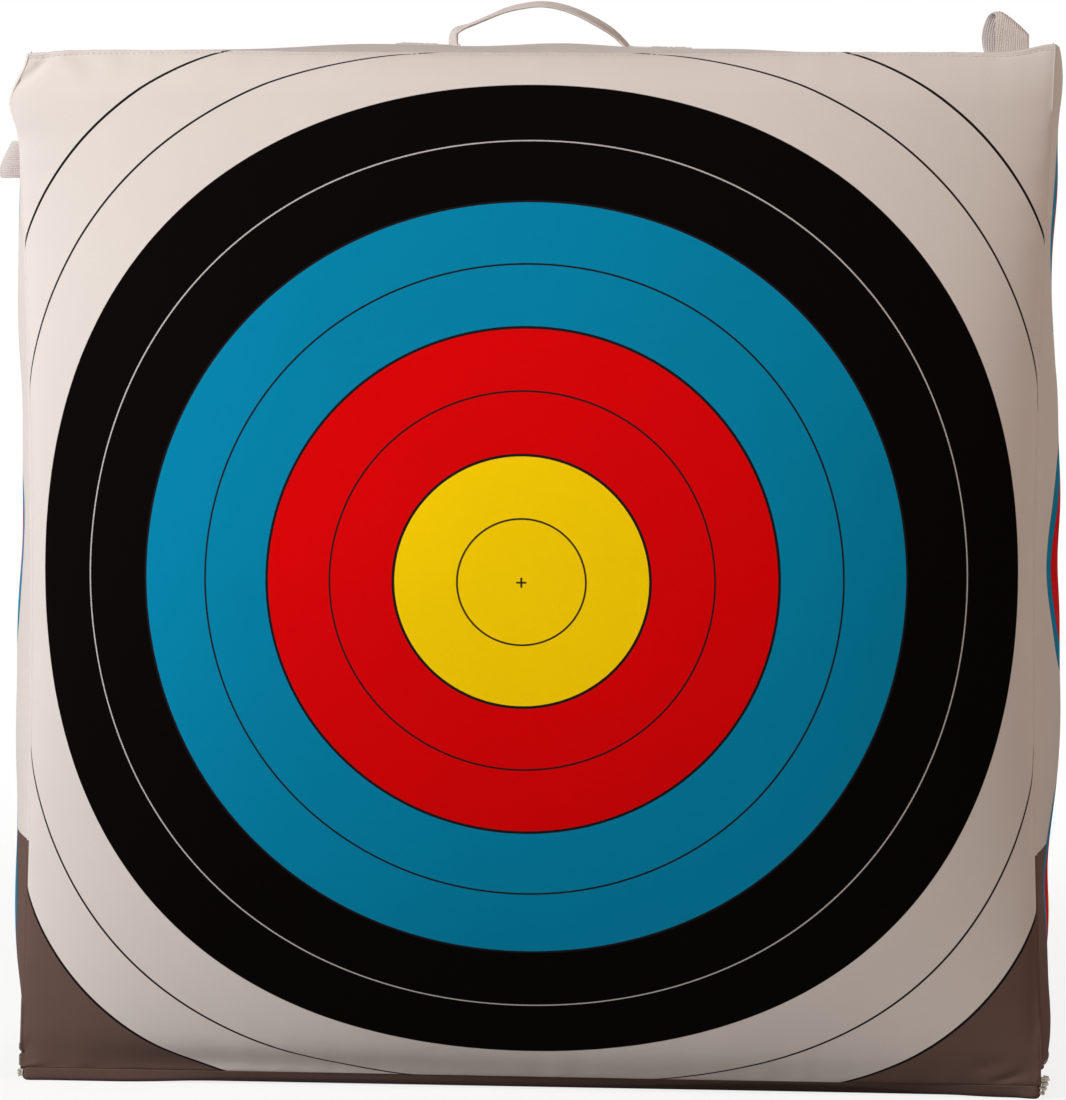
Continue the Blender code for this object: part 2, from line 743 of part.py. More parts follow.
def make_loop_root(name, low, high, slotted):
    """The sewn-in ends of one loop, in a slot that is left for them inside the seam."""
    webbing = finish(name + "_webbing", (0.76, 0.71, 0.68), 0.8)
    add_object(name, box(low, high), webbing)
    around = Vector((GAP, GAP, GAP))
    slot_low, slot_high = Vector(low) - around, Vector(high) + around
    slot_high.y = HALF_DEPTH - CLOTH / 2
    slot = add_object(name + "_slot", box(slot_low, slot_high), webbing)
    hide_cutter(slot)
    for thing in slotted:
        cut(thing, slot)


def make_right_loop(top_panel, back_binding):
    axis_z = TOP_SEAM_Z + LOOP_AXIS_OUT
    half = WEBBING_WIDTH / 2
    layer = LOOP_LAYER / 2

    def to_world(along, across, width):
        return Vector((RIGHT_LOOP_X + width, LOOP_Y + across, axis_z + along))

    make_loop("hang_loop_right", RIGHT_LOOP_LENGTH, to_world, (RIGHT_LOOP_X, LOOP_Y, axis_z))
    low = (RIGHT_LOOP_X - half, LOOP_Y - layer, TOP_SEAM_Z - LOOP_TAIL)
    high = (RIGHT_LOOP_X + half, LOOP_Y + layer, TOP_SEAM_Z + LOOP_ROOT_END)
    make_loop_root("loop_tail_right", low, high, (top_panel, back_binding))


def make_left_loop(left_panel, back_binding):
    seam_x = -half_width(LEFT_LOOP_Z)
    axis_x = seam_x - LOOP_AXIS_OUT
    half = WEBBING_WIDTH / 2
    layer = LOOP_LAYER / 2

    def to_world(along, across, width):
        return Vector((axis_x - along, LOOP_Y + across, LEFT_LOOP_Z + width))

    make_loop("hang_loop_left", LEFT_LOOP_LENGTH, to_world, (axis_x, LOOP_Y, LEFT_LOOP_Z))
    low = (seam_x - LOOP_ROOT_END, LOOP_Y - layer, LEFT_LOOP_Z - half)
    high = (seam_x + LOOP_TAIL, LOOP_Y + layer, LEFT_LOOP_Z + half)
    make_loop_root("loop_tail_left", low, high, (left_panel, back_binding))


# Inner sack and fill


def stuffed_shape(inset, skin, floor, cells):
    """A closed block with the bag's swollen shape, its seams inset and its middles skin inside.
    It stands straight up from the floor to the shoulder and swells above it.
    """
    shape = bmesh.new()
    shoulder = BOTTOM_SEAM_Z + inset
    bmesh.ops.create_cube(shape, size=2.0)
    bmesh.ops.subdivide_edges(shape, edges=shape.edges, cuts=cells - 1, use_grid_fill=True)
    for vertex in shape.verts:
        a, b, c = vertex.co
        z = row_height(c, floor, shoulder, TOP_SEAM_Z - inset, cells)
        vertex.co = bag_point(ease(a), b, z, c, inset, skin)
    return shape


def make_sack():
    """A thin bag round the fill. Its mouth is a slot in its floor."""
    cells = FILL_CELLS
    floor = CLOTH + GAP
    shape = stuffed_shape(SACK_INSET, SACK_SKIN, floor, cells)
    inner = stuffed_shape(SACK_INSET + SACK_WALL, SACK_SKIN + SACK_WALL, floor + SACK_WALL, cells)
    inner_mesh = bpy.data.meshes.new("sack_lining")
    inner.to_mesh(inner_mesh)
    inner.free()
    shape.from_mesh(inner_mesh)
    bpy.data.meshes.remove(inner_mesh)
    reach_x, reach_y = SACK_MOUTH_LENGTH / 2, SACK_MOUTH_WIDTH / 2
    for sign in (-1, 1):
        slice_floor(shape, (sign * reach_x, 0, 0), (1, 0, 0), floor)
        slice_floor(shape, (0, sign * reach_y, 0), (0, 1, 0), floor)
    mouth = []
    for face in floor_faces(shape, floor):
        middle = face.calc_center_median()
        if abs(middle.x) < reach_x and abs(middle.y) < reach_y:
            mouth.append(face)
    bmesh.ops.delete(shape, geom=mouth, context="FACES")
    rims = [edge for edge in shape.edges if edge.is_boundary]
    bmesh.ops.bridge_loops(shape, edges=rims)
    smooth(add_object("inner_sack", shape, finish("sack_weave", (0.62, 0.60, 0.55), 0.7)))
    shape = box(
        (-reach_x + GAP, -reach_y + GAP, floor),
        (reach_x - GAP, reach_y - GAP, floor + SACK_WALL),
    )
    add_object("sack_mouth_flap", shape, finish("mouth_weave", (0.58, 0.56, 0.52), 0.7))


def floor_faces(shape, floor):
    """The faces of the sack's floor, outside and inside."""
    return [face for face in shape.faces if face.calc_center_median().z < floor + 2 * SACK_WALL]


def slice_floor(shape, point, normal, floor):
    """Adds an edge line across the sack's floor."""
    low = floor_faces(shape, floor)
    geom = set(low)
    for face in low:
        geom.update(face.edges)
        geom.update(face.verts)
    bmesh.ops.bisect_plane(shape, geom=list(geom), plane_co=point, plane_no=normal)


def make_fill():
    """Three layers of packed fibre, with flat faces against each other."""
    inset = SACK_INSET + SACK_WALL + GAP
    skin = SACK_SKIN + SACK_WALL + GAP
    floor = CLOTH + 2 * GAP + SACK_WALL
    half = CORE_THICKNESS / 2
    layers = {
        "fill_front": ((-half - GAP, 1),),
        "fill_core": ((-half, -1), (half, 1)),
        "fill_back": ((half + GAP, -1),),
    }
    for name, cuts in layers.items():
        shape = stuffed_shape(inset, skin, floor, FILL_CELLS)
        for place, side in cuts:
            geom = list(shape.verts) + list(shape.edges) + list(shape.faces)
            bmesh.ops.bisect_plane(
                shape, geom=geom, plane_co=(0, place, 0), plane_no=(0, side, 0), clear_outer=True
            )
            rim = [edge for edge in shape.edges if edge.is_boundary]
            bmesh.ops.edgeloop_fill(shape, edges=rim)
        fibre = finish(name + "_fibre", (0.66, 0.63, 0.58), 1.0)
        smooth(add_object(name, shape, fibre))


def main():
    clear_scene()
    make_front_panel()
    make_back_panel()
    left_panel = make_side_panel("left_panel", -1)
    make_side_panel("right_panel", 1)
    top_panel = make_top_panel()
    make_front_binding()
    back_binding = make_back_binding()
    flap_hinge = empty("flap_hinge", (0, -HALF_DEPTH, FLAP_HINGE_Z))
    make_zip(flap_hinge)
    make_bottom_flap(flap_hinge)
    make_tape_tails()
    make_pull(make_slider())
    make_handle()
    make_handle_feet()
    make_handle_patches()
    make_right_loop(top_panel, back_binding)
    make_left_loop(left_panel, back_binding)
    make_sack()
    make_fill()


main()
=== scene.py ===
"""Looks of the stuffed archery bag: printed cover, webbing, zip and packed fill.

Metres, +Z up, in the part's own frame. X runs to the right of somebody facing the ring face,
which looks along -Y.
"""

import math

import bpy
import numpy as np
from mathutils import Matrix, Vector


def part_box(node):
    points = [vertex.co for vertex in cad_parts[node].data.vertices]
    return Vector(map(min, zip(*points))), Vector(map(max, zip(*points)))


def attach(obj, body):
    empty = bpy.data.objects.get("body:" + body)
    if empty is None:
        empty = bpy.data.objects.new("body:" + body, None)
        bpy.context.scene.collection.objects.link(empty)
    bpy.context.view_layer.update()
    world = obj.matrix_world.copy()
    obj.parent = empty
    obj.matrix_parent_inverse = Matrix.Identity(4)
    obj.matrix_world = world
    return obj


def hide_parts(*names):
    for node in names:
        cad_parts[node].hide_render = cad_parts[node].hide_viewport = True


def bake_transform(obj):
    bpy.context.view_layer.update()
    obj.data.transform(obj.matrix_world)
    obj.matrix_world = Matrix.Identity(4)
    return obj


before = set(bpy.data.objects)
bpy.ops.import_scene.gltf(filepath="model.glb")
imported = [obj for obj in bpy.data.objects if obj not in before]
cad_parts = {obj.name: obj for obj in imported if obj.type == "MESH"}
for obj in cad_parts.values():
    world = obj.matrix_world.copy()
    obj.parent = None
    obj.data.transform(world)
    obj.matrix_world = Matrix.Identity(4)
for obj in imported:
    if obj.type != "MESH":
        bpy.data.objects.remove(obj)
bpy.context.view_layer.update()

# Main sizes, read from the frame
END_HALF_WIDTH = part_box("bottom_flap")[1].x
HALF_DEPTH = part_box("bottom_flap")[1].y
TOP_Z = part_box("front_panel")[1].z
BOTTOM_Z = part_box("front_panel")[0].z
HEM_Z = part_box("back_panel")[0].z
BACK_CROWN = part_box("back_panel")[1].y - HALF_DEPTH
SIDE_DRAW_IN = 0.009
SIDE_CROWN = 0.023
BAND_Z = HEM_Z + 0.0071

# Cloth
CLOTH = 0.0012
GAP = 0.0003
ALLOWANCE = 0.0040
TURN_IN = 0.0016

# Front cloth as it was cut, measured from the centre of the rings
RING_Z = 0.335
FLAT_HALF_WIDTH = 0.3366
FLAT_HALF_HEIGHT = 0.3449
FACE_CROWN = 0.0700
FACE_ACROSS = 2.95
FACE_UP = 1.8
FACE_ROUNDING = 0.7225

# Shoulder under the top seam, where the front cloth turns back
SHOULDER = 0.004
SHOULDER_DROP = 0.030
SHOULDER_FADE = 0.035

# Foot of the front cloth, where it eases into the bottom seam
FOOT_EASE_LEFT = 0.65
FOOT_EASE_RIGHT = 0.20
FOOT_REACH = 0.0140
FOOT_LEAN = 0.0008
FOOT_LEAN_RIGHT = 0.0026
FOOT_EDGE = 0.012

# The fill stretches the front cloth a little unevenly and takes the printed rings with it
STRETCH_ALL = 0.0014
STRETCH_OUT = -0.0377
STRETCH_RIGHT = -0.0051
STRETCH_TOP = 0.0041
STRETCH_OVAL = 0.0017
STRETCH_CORNERS = 0.0027
STRETCH_RIM = 0.0726
STRETCH_RIM_CORNERS = 0.0581
STRETCH_WAVES = ((1, -0.0018, 0.0079), (2, 0.0066, -0.0016), (3, 0.0022, -0.0030), (4, 0.0022, 0.0))

# Print of the ring face
RING = 0.040
OUTER_RING = 10 * RING
GROUND_Z = 0.151

# Seams
RIDGE = 0.0010
RIDGE_WIDTH = 0.0024
STITCH_INSET = 0.0027
STITCH_DENT = 0.0005
STITCH_GROOVE = 0.0006
HEM_STITCH = 0.0030
STITCH_LENGTH = 0.0027
STITCH_PITCH = 0.0037
THREAD = 0.00032
THREAD_RISE = 0.35

# Swell of the other panels
TOP_CROWN_LEFT_END = 0.0030
TOP_CROWN_RIGHT_END = 0.0014
TOP_CROWN_MIDDLE = 0.0055
TOP_CROWN_LEFT = 0.0027
TOP_CROWN_CENTRE = 0.0033

# Bulges of the sides, as height above the ground, swell outwards and reach up and down
BULGES_RIGHT = (
    (0.520, -0.0100, 0.085),
    (0.340, -0.0030, 0.080),
    (0.145, -0.0068, 0.055),
)
CORNER_PUFF = 0.0066
BULGES_LEFT = (
    (0.540, 0.0012, 0.030),
    (0.230, 0.0050, 0.085),
    (0.075, 0.0098, 0.065),
    (0.027, -0.0040, 0.014),
)

# Creases of the front cloth, as two ends in X and Z, height and half width
CREASES = (
    ((-0.302, 0.6600), (-0.289, 0.6470), 0.0011, 0.0026),
    ((-0.291, 0.6615), (-0.276, 0.6540), -0.0014, 0.0030),
    ((-0.314, 0.6590), (-0.327, 0.6435), -0.0016, 0.0032),
    ((-0.262, 0.6600), (-0.225, 0.6510), -0.0008, 0.0045),
    ((0.3020, 0.0118), (0.3165, 0.0172), -0.0018, 0.0022),
    ((0.2880, 0.0205), (0.3060, 0.0235), -0.0010, 0.0032),
    ((-0.322, 0.0250), (-0.329, 0.0180), -0.0010, 0.0022),
    ((-0.318, 0.0120), (-0.329, 0.0085), 0.0008, 0.0022),
    ((0.322, 0.1100), (0.324, 0.0300), -0.0007, 0.0030),
)

# Zip
ZIP_Z = HEM_Z - 0.0092
ZIP_CORNER_RADIUS = 0.012
COIL_START = 0.0060
COIL_OUT = 0.0006
COIL_HEIGHT = 0.0030
COIL_PARTING = 0.0010
TAPE_START = 0.0068
TAPE_IN = CLOTH + GAP
TAPE_THICKNESS = 0.0006
TAPE_PARTING = 0.0014
TOOTH_PITCH = 0.0015
TOOTH_LENGTH = 0.0010
STOP_LENGTH = 0.0017

# Folded ends of the zip tape, as name, side, folds, taper and rise above the CAD solid
TAPE_ENDS = (
    ("left", -1, 2.5, 0.1, -0.0045),
    ("right", 1, 3.5, 0.72, 0.0025),
)

# Slider and pull
SLIDER_Y = -0.1040
SLIDER_LENGTH = 0.015
SLIDER_WIDTH = 0.0114
SLIDER_OUT = COIL_OUT + GAP
SLIDER_PLATE = 0.0015
BRIDGE_LENGTH = 0.010
BRIDGE_WIDTH = 0.0030
BRIDGE_HEIGHT = 0.0038
BRIDGE_BAR = 0.0011
PULL_AXIS_X = -0.3328
PULL_LENGTH = 0.028
PULL_WIDTH = 0.0072
PULL_THICKNESS = 0.0012
PULL_BAR = 0.0014
WINDOW_LENGTH = 0.0060
WINDOW_WIDTH = 0.0044

# Flap
FLAP_EDGE = 0.0030
FLAP_FRONT_RADIUS = 0.0040
FLAP_RIM_Z = 0.0055
FLAP_HINGE_Z = BOTTOM_Z - 0.0001

# Inner sack and fill
SACK_INSET = 0.0070
SACK_SPARE = 0.0051
SIDE_SPARE = 0.0096
SACK_WALL = 0.0008
SACK_FLOOR = CLOTH + GAP
MOUTH_LENGTH = 0.30
MOUTH_WIDTH = 0.045
CORE_HALF = 0.040
SACK_FOOT = (0.004, 0.020)
SACK_CELLS = 48
FILL_CELLS = 36

# Bound seam allowances
BINDING_TAPE = 0.0005
BINDING_DEPTH = 0.0050
BINDING_NEAR = CLOTH + GAP
BINDING_FAR = BINDING_NEAR + 0.0025
MITRE = 0.0025

# Webbing
WEBBING_HALF = 0.0125
WEBBING_THICKNESS = 0.0020
RIB_PITCH = 0.0016
RIB_HEIGHT = 0.00012
LOOP_PLY = 0.0014
LOOP_ROOT = 0.0015
TAIL_THICKNESS = 0.0016
TAIL_LIFT = 0.0011
TAIL_STITCH_LIFT = 0.0021

# Mesh steps
FINE_STEP = 0.0005
COARSE_STEP = 0.0045
STEP_GROWTH = 1.28


# Small helpers for numbers


def bump(value, middle, width):
    """A smooth hill with its top, 1, at the middle."""
    return np.exp(-(((value - middle) / width) ** 2))


def rise(value, low, high):
    """0 below low, 1 above high, smooth in between."""
    part = np.clip((value - low) / (high - low), 0.0, 1.0)
    return part * part * (3 - 2 * part)


def share(value, low, high):
    """-1 at low and 1 at high, and no further."""
    return np.clip((2 * value - low - high) / (high - low), -1.0, 1.0)


def nearest(values, wanted):
    return int(np.argmin(np.abs(values - wanted)))


def unit(vectors):
    return vectors / np.linalg.norm(vectors, axis=-1)[..., None]


def lengths(path):
    """Length from the start at each point of a path."""
    return np.concatenate([[0.0], np.cumsum(np.linalg.norm(np.diff(path, axis=0), axis=1))])


def points_at(path, length, marks):
    """Points of a path at some lengths from its start."""
    return np.stack([np.interp(marks, length, path[:, axis]) for axis in range(3)], -1)


def ripple(x, y, scale, seed):
    """Uneven waves of about the given size, between -1 and 1."""
    draw = np.random.default_rng(seed)
    total = np.zeros_like(x * y)
    waves = 9
    for _ in range(waves):
        angle, phase = draw.uniform(0, 2 * math.pi, 2)
        length = scale * draw.uniform(0.6, 1.6)
        across = (x * math.cos(angle) + y * math.sin(angle)) / length
        total += np.sin(2 * math.pi * across + phase)
    return total / math.sqrt(waves) / 1.5


def graded(low, high, fine=FINE_STEP, coarse=COARSE_STEP):
    """Places from low to high, close together at both ends."""
    middle = (low + high) / 2
    steps = [0.0]
    step = fine
    while steps[-1] + step < middle - low:
        steps.append(steps[-1] + step)
        step = min(coarse, step * STEP_GROWTH)
    steps = np.array(steps) * (middle - low) / (steps[-1] + step)
    return np.concatenate([low + steps, [middle], (high - steps)[::-1]])


# Small helpers for objects


def select_nothing():
    bpy.ops.object.select_all(action="DESELECT")


def select_only(thing):
    select_nothing()
    thing.select_set(True)
    bpy.context.view_layer.objects.active = thing


def edit_all(thing):
    """Goes into edit mode with everything selected."""
    select_only(thing)
    bpy.ops.object.mode_set(mode="EDIT")
    bpy.ops.mesh.select_all(action="SELECT")


def leave_edit():
    bpy.ops.object.mode_set(mode="OBJECT")


def repair_normals(thing):
    edit_all(thing)
    bpy.ops.mesh.normals_make_consistent(inside=False)
    leave_edit()


def apply_modifier(thing, modifier):
    select_only(thing)
    bpy.ops.object.modifier_apply(modifier=modifier.name)


def thicken(thing, thickness, offset=-1.0):
    """Gives a sheet its thickness, inwards, or to both sides with an offset of 0."""
    wall = thing.modifiers.new("thickness", "SOLIDIFY")
    wall.thickness = thickness
    wall.offset = offset
    apply_modifier(thing, wall)


def add_object(name, data):
    thing = bpy.data.objects.new(name, data)
    bpy.context.scene.collection.objects.link(thing)
    return thing


def add_mesh(name, points, faces, material):
    mesh = bpy.data.meshes.new(name)
    mesh.from_pydata([tuple(point) for point in points], [], [tuple(face) for face in faces])
    mesh.materials.append(material)
    mesh.polygons.foreach_set("use_smooth", [True] * len(mesh.polygons))
    return add_object(name, mesh)


def points_of(thing):
    return np.array([point.co for point in thing.data.vertices])


def take_shape(thing):
    """Takes the points and faces of an object and removes it."""
    shape = points_of(thing), [list(face.vertices) for face in thing.data.polygons]
    bpy.data.objects.remove(thing, do_unlink=True)
    return shape


def stand_in(thing, node, body="cover"):
    """Lets a piece ride on a body in the place of a CAD node."""
    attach(thing, body)
    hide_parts(node)


def grid_faces(rows, columns, closed=False):
    """Quads of a grid of points stored row by row. A closed grid joins its last column to its first."""
    cells = columns if closed else columns - 1
    i, j = np.meshgrid(np.arange(rows - 1), np.arange(cells), indexing="ij")
    after = (j + 1) % columns
    corners = (i * columns + j, (i + 1) * columns + j, (i + 1) * columns + after, i * columns + after)
    return np.stack(corners, -1).reshape(-1, 4)


def set_uv(thing, flat):
    """Gives each point its place on the flat cloth, in metres."""
    layer = thing.data.uv_layers.new(name="flat")
    index = np.empty(len(thing.data.loops), np.int32)
    thing.data.loops.foreach_get("vertex_index", index)
    layer.data.foreach_set("uv", np.asarray(flat, np.float32).reshape(-1, 2)[index].ravel())


def add_sheet(name, points, flat, material, outward, thickness=CLOTH):
    """A sheet of cloth from a grid of points, thickened towards its inner side."""
    rows, columns = points.shape[:2]
    thing = add_mesh(name, points.reshape(-1, 3), grid_faces(rows, columns), material)
    set_uv(thing, flat)
    middle = (rows // 2) * (columns - 1) + (columns - 1) // 2
    if thing.data.polygons[middle].normal.dot(Vector(outward)) < 0:
        thing.data.flip_normals()
    thicken(thing, thickness)
    return thing


# Shape of the stuffed bag


def half_width(z):
    return END_HALF_WIDTH - SIDE_DRAW_IN * (1 - share(z, BAND_Z, TOP_Z) ** 2)


def body_swell(z):
    return 1 - np.abs(share(z, BAND_Z, TOP_Z)) ** 4


def settle(points):
    """The uneven set of a real bag: its top left corner pulled in over a small bulge, its top right
    corner standing up over a full shoulder.
    """
    x, y, z = points[..., 0], points[..., 1], points[..., 2]
    settled = points.copy()
    left = bump(x, -END_HALF_WIDTH, 0.024) * (1 - 0.5 * rise(y, -HALF_DEPTH, HALF_DEPTH))
    shoulder = bump(x, END_HALF_WIDTH, 0.045) * (1 - np.clip(y / HALF_DEPTH, -1, 1) ** 2)
    settled[..., 0] += left * (0.0080 * bump(z, TOP_Z, 0.016) - 0.0050 * bump(z, TOP_Z - 0.032, 0.014))
    settled[..., 0] += 0.0070 * shoulder * bump(z, TOP_Z - 0.009, 0.028)
    ends = 0.0010 * rise(np.abs(x), 0.12, 0.20)
    corners = 0.0055 * bump(x, END_HALF_WIDTH, 0.020) - 0.0020 * bump(x, -END_HALF_WIDTH, 0.024)
    settled[..., 2] += (ends + corners) * bump(z, TOP_Z, 0.020)
    return settled


def along_foot(y):
    """1 at the front edge of the bottom, 0 a little behind it."""
    return 1 - rise(y, -HALF_DEPTH, -HALF_DEPTH + FOOT_EDGE)


def foot_lift(x, y):
    """How far the front edge of the bottom stands clear of the ground between the corners."""
    arch = rise(x, -0.27, -0.17) * (1 - rise(x, 0.22, 0.31)) * (0.0026 + 0.0030 * bump(x, 0.16, 0.08))
    return arch * along_foot(y)


def foot_lean(x, y):
    """How far the front wall of the bottom leans in at the ground, beside its lift."""
    lean = (FOOT_LEAN + FOOT_LEAN_RIGHT * rise(x, -0.20, 0.28)) * (1 - rise(np.abs(x), 0.310, 0.325))
    return lean * along_foot(y)


def front_surface(s, t):
    """Points of the front cloth from the cloth's own coordinates, which run from -1 to 1."""
    across, up = np.meshgrid(s, t, indexing="ij")
    swell = np.clip((1 - np.abs(across) ** FACE_ACROSS) * (1 - np.abs(up) ** FACE_UP), 0, 1)
    from_top = FLAT_HALF_HEIGHT * (1 - up)
    tent = np.where(
        from_top < SHOULDER_DROP,
        from_top / SHOULDER_DROP,
        np.exp(-(from_top - SHOULDER_DROP) / SHOULDER_FADE),
    )
    ease = FOOT_EASE_LEFT + (FOOT_EASE_RIGHT - FOOT_EASE_LEFT) * rise(across, -0.85, 0.15)
    foot = 1 - ease * (1 - np.abs(across) ** 8) * bump(FLAT_HALF_HEIGHT * (1 + up), 0.0, FOOT_REACH)
    out = FACE_CROWN * swell**FACE_ROUNDING * foot + SHOULDER * tent * (1 - across**6)
    x = run_along(out, across * FLAT_HALF_WIDTH, 0)
    z = run_along(out, up * FLAT_HALF_HEIGHT, 1)
    z = np.where(z > 0, z * (TOP_Z - RING_Z) / z[:, -1:], z * (RING_Z - BOTTOM_Z) / -z[:, :1]) + RING_Z
    x = np.where(x > 0, x / x[-1:, :], x / -x[:1, :]) * half_width(z)
    flat = np.stack([across * FLAT_HALF_WIDTH, up * FLAT_HALF_HEIGHT], -1)
    return np.stack([x, -HALF_DEPTH - out, z], -1), flat


def run_along(out, cloth, axis):
    """How far the cloth reaches along an axis, once its swell has used some of its length."""
    length = np.diff(cloth, axis=axis)
    reach = np.sqrt(np.clip(length**2 - np.diff(out, axis=axis) ** 2, (length / 4) ** 2, None))
    start = np.zeros_like(np.take(out, [0], axis=axis))
    total = np.concatenate([start, np.cumsum(reach, axis=axis)], axis=axis)
    middle = int(np.argmin(np.abs(np.moveaxis(cloth, axis, 0)[:, 0])))
    return total - np.take(total, [middle], axis=axis)


def stretched(flat):
    """Where the print lies after the fill has stretched the cloth."""
    a, b = flat[..., 0], flat[..., 1]
    angle = np.arctan2(b, a)
    outer = (a**2 + b**2) / OUTER_RING**2
    uneven = STRETCH_OUT + STRETCH_RIGHT * np.cos(angle) + STRETCH_TOP * np.sin(angle)
    uneven += STRETCH_OVAL * np.cos(2 * angle) + STRETCH_CORNERS * np.cos(4 * angle)
    rim = STRETCH_RIM + STRETCH_RIM_CORNERS * np.cos(4 * angle)
    waves = sum(
        even * np.cos(count * angle) + odd * np.sin(count * angle)
        for count, even, odd in STRETCH_WAVES
    )
    waves = waves * bump(np.hypot(a, b), 0.21, 0.11)
    return flat * (1 + STRETCH_ALL + outer * uneven + outer**3 * rim + waves)[..., None]


def crease_height(x, z):
    """Height of the listed creases of the front cloth."""
    height = np.zeros_like(x)
    for (x0, z0), (x1, z1), amount, width in CREASES:
        length = math.hypot(x1 - x0, z1 - z0)
        ahead = ((x - x0) * (x1 - x0) + (z - z0) * (z1 - z0)) / length
        aside = ((x - x0) * (z1 - z0) - (z - z0) * (x1 - x0)) / length
        ends = rise(ahead, -0.4 * length, 0.3 * length) * (1 - rise(ahead, 0.7 * length, 1.4 * length))
        height += amount * ends * bump(aside, 0.0, width)
    return height


def turn_in_edges(points, flat):
    """Adds the seam allowance of the front cloth, turned back inside all four seams."""
    inner = np.pad(points, ((1, 1), (1, 1), (0, 0)), mode="edge")
    inner[[0, -1], :, 1] += ALLOWANCE
    inner[:, [0, -1], 1] = np.maximum(inner[:, [0, -1], 1], -HALF_DEPTH + ALLOWANCE)
    inner[0, :, 0] += TURN_IN
    inner[-1, :, 0] -= TURN_IN
    inner[:, 0, 2] += TURN_IN
    inner[:, -1, 2] -= TURN_IN
    cloth = np.pad(flat, ((1, 1), (1, 1), (0, 0)), mode="edge")
    cloth[0, :, 0] -= ALLOWANCE
    cloth[-1, :, 0] += ALLOWANCE
    cloth[:, 0, 1] -= ALLOWANCE
    cloth[:, -1, 1] += ALLOWANCE
    return inner, cloth


def make_front_panel(material):
    s = graded(-FLAT_HALF_WIDTH, FLAT_HALF_WIDTH) / FLAT_HALF_WIDTH
    t = graded(-FLAT_HALF_HEIGHT, FLAT_HALF_HEIGHT) / FLAT_HALF_HEIGHT
    points, flat = front_surface(s, t)
    across, up = flat[..., 0], flat[..., 1]
    from_top, from_foot = FLAT_HALF_HEIGHT - up, FLAT_HALF_HEIGHT + up
    from_side = FLAT_HALF_WIDTH - np.abs(across)
    ridge = sewn_ridge(from_top)
    points[..., 1] -= 0.5 * ridge
    points[..., 2] += 0.35 * ridge
    free = rise(from_side, 0.0, 0.002) * rise(from_top, 0.0, 0.002) * rise(from_foot, 0.0, 0.002)
    rumple = crease_height(points[..., 0], points[..., 2])
    rumple += puckers(up, from_side, 11, 0.0005, 0.012)
    gathers = puckers(across, from_top, 12, 0.0004, 0.014)
    rumple += gathers + puckers(across, from_foot, 13, 0.0006, 0.020)
    rumple += 0.0004 * ripple(across, up, 0.16, 14)
    points[..., 1] -= free * rumple
    seam_row = settle(points)[:, nearest(from_top[0], STITCH_INSET)]
    points, cloth = turn_in_edges(points, flat)
    thing = add_sheet("front_cover_panel", settle(points), stretched(cloth), material, (0, -1, 0))
    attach(add_stitches("front_top_stitches", seam_row, (0, -1, 0.6)), "cover")
    stand_in(thing, "front_panel")


def add_bulges(x, z, y, bulges, puff):
    """Lets a side panel bulge or sag at some heights, most at the middle of its depth, and puff
    out behind its lower front corner.
    """
    moved = x.copy()
    held = (1 - (y / HALF_DEPTH) ** 2) * rise(z, HEM_Z, HEM_Z + 0.010)
    for height, amount, reach in bulges:
        moved += amount * bump(z, height, reach) * held
    corner = bump(y, -0.088, 0.035) * (1 - (y / HALF_DEPTH) ** 10) * bump(z, 0.035, 0.035)
    return moved + puff * corner * rise(z, HEM_Z - 0.012, HEM_Z)


def sewn_ridge(distance):
    """Height of the sewn ridge beside a seam, with the groove of its stitches."""
    ridge = RIDGE * bump(distance, RIDGE_WIDTH / 2, RIDGE_WIDTH / 2.6)
    return ridge - STITCH_DENT * bump(distance, STITCH_INSET, STITCH_GROOVE)


def ridge_profile(distance):
    """The sewn ridge, rolled in at the seam itself."""
    return sewn_ridge(distance) - 0.0008 * bump(distance, 0.0, 0.0005)


def hem_profile(height):
    """Thickness of the folded hem above the zip, rolled in at its lower edge."""
    return 0.0006 * (1 - rise(height, 0.0040, 0.0056)) - 0.0009 * bump(height, 0.0, 0.0006)


def puckers(along, distance, seed, amount=0.0006, reach=0.016):
    """Small gathers that run out from a seam."""
    waves = ripple(along, np.zeros_like(along), 0.016, seed)
    return amount * waves * rise(distance, 0.0, 0.004) * np.exp(-distance / reach)


def flat_by_length(points):
    """Places on the flat cloth, found by measuring along the rows and columns from the middle."""
    across = np.linalg.norm(np.diff(points, axis=0), axis=-1)
    up = np.linalg.norm(np.diff(points, axis=1), axis=-1)
    a = np.concatenate([np.zeros((1, points.shape[1])), np.cumsum(across, axis=0)])
    b = np.concatenate([np.zeros((points.shape[0], 1)), np.cumsum(up, axis=1)], axis=1)
    a -= a[points.shape[0] // 2][None, :]
    b -= b[:, points.shape[1] // 2][:, None]
    return np.stack([a, b], -1)


def declare_panel(thing, node):
    stand_in(thing, node)


def sew_rows(name, rows, outward):
    for place, path in rows.items():
        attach(add_stitches(f"{name}_{place}_stitches", path, outward), "cover")


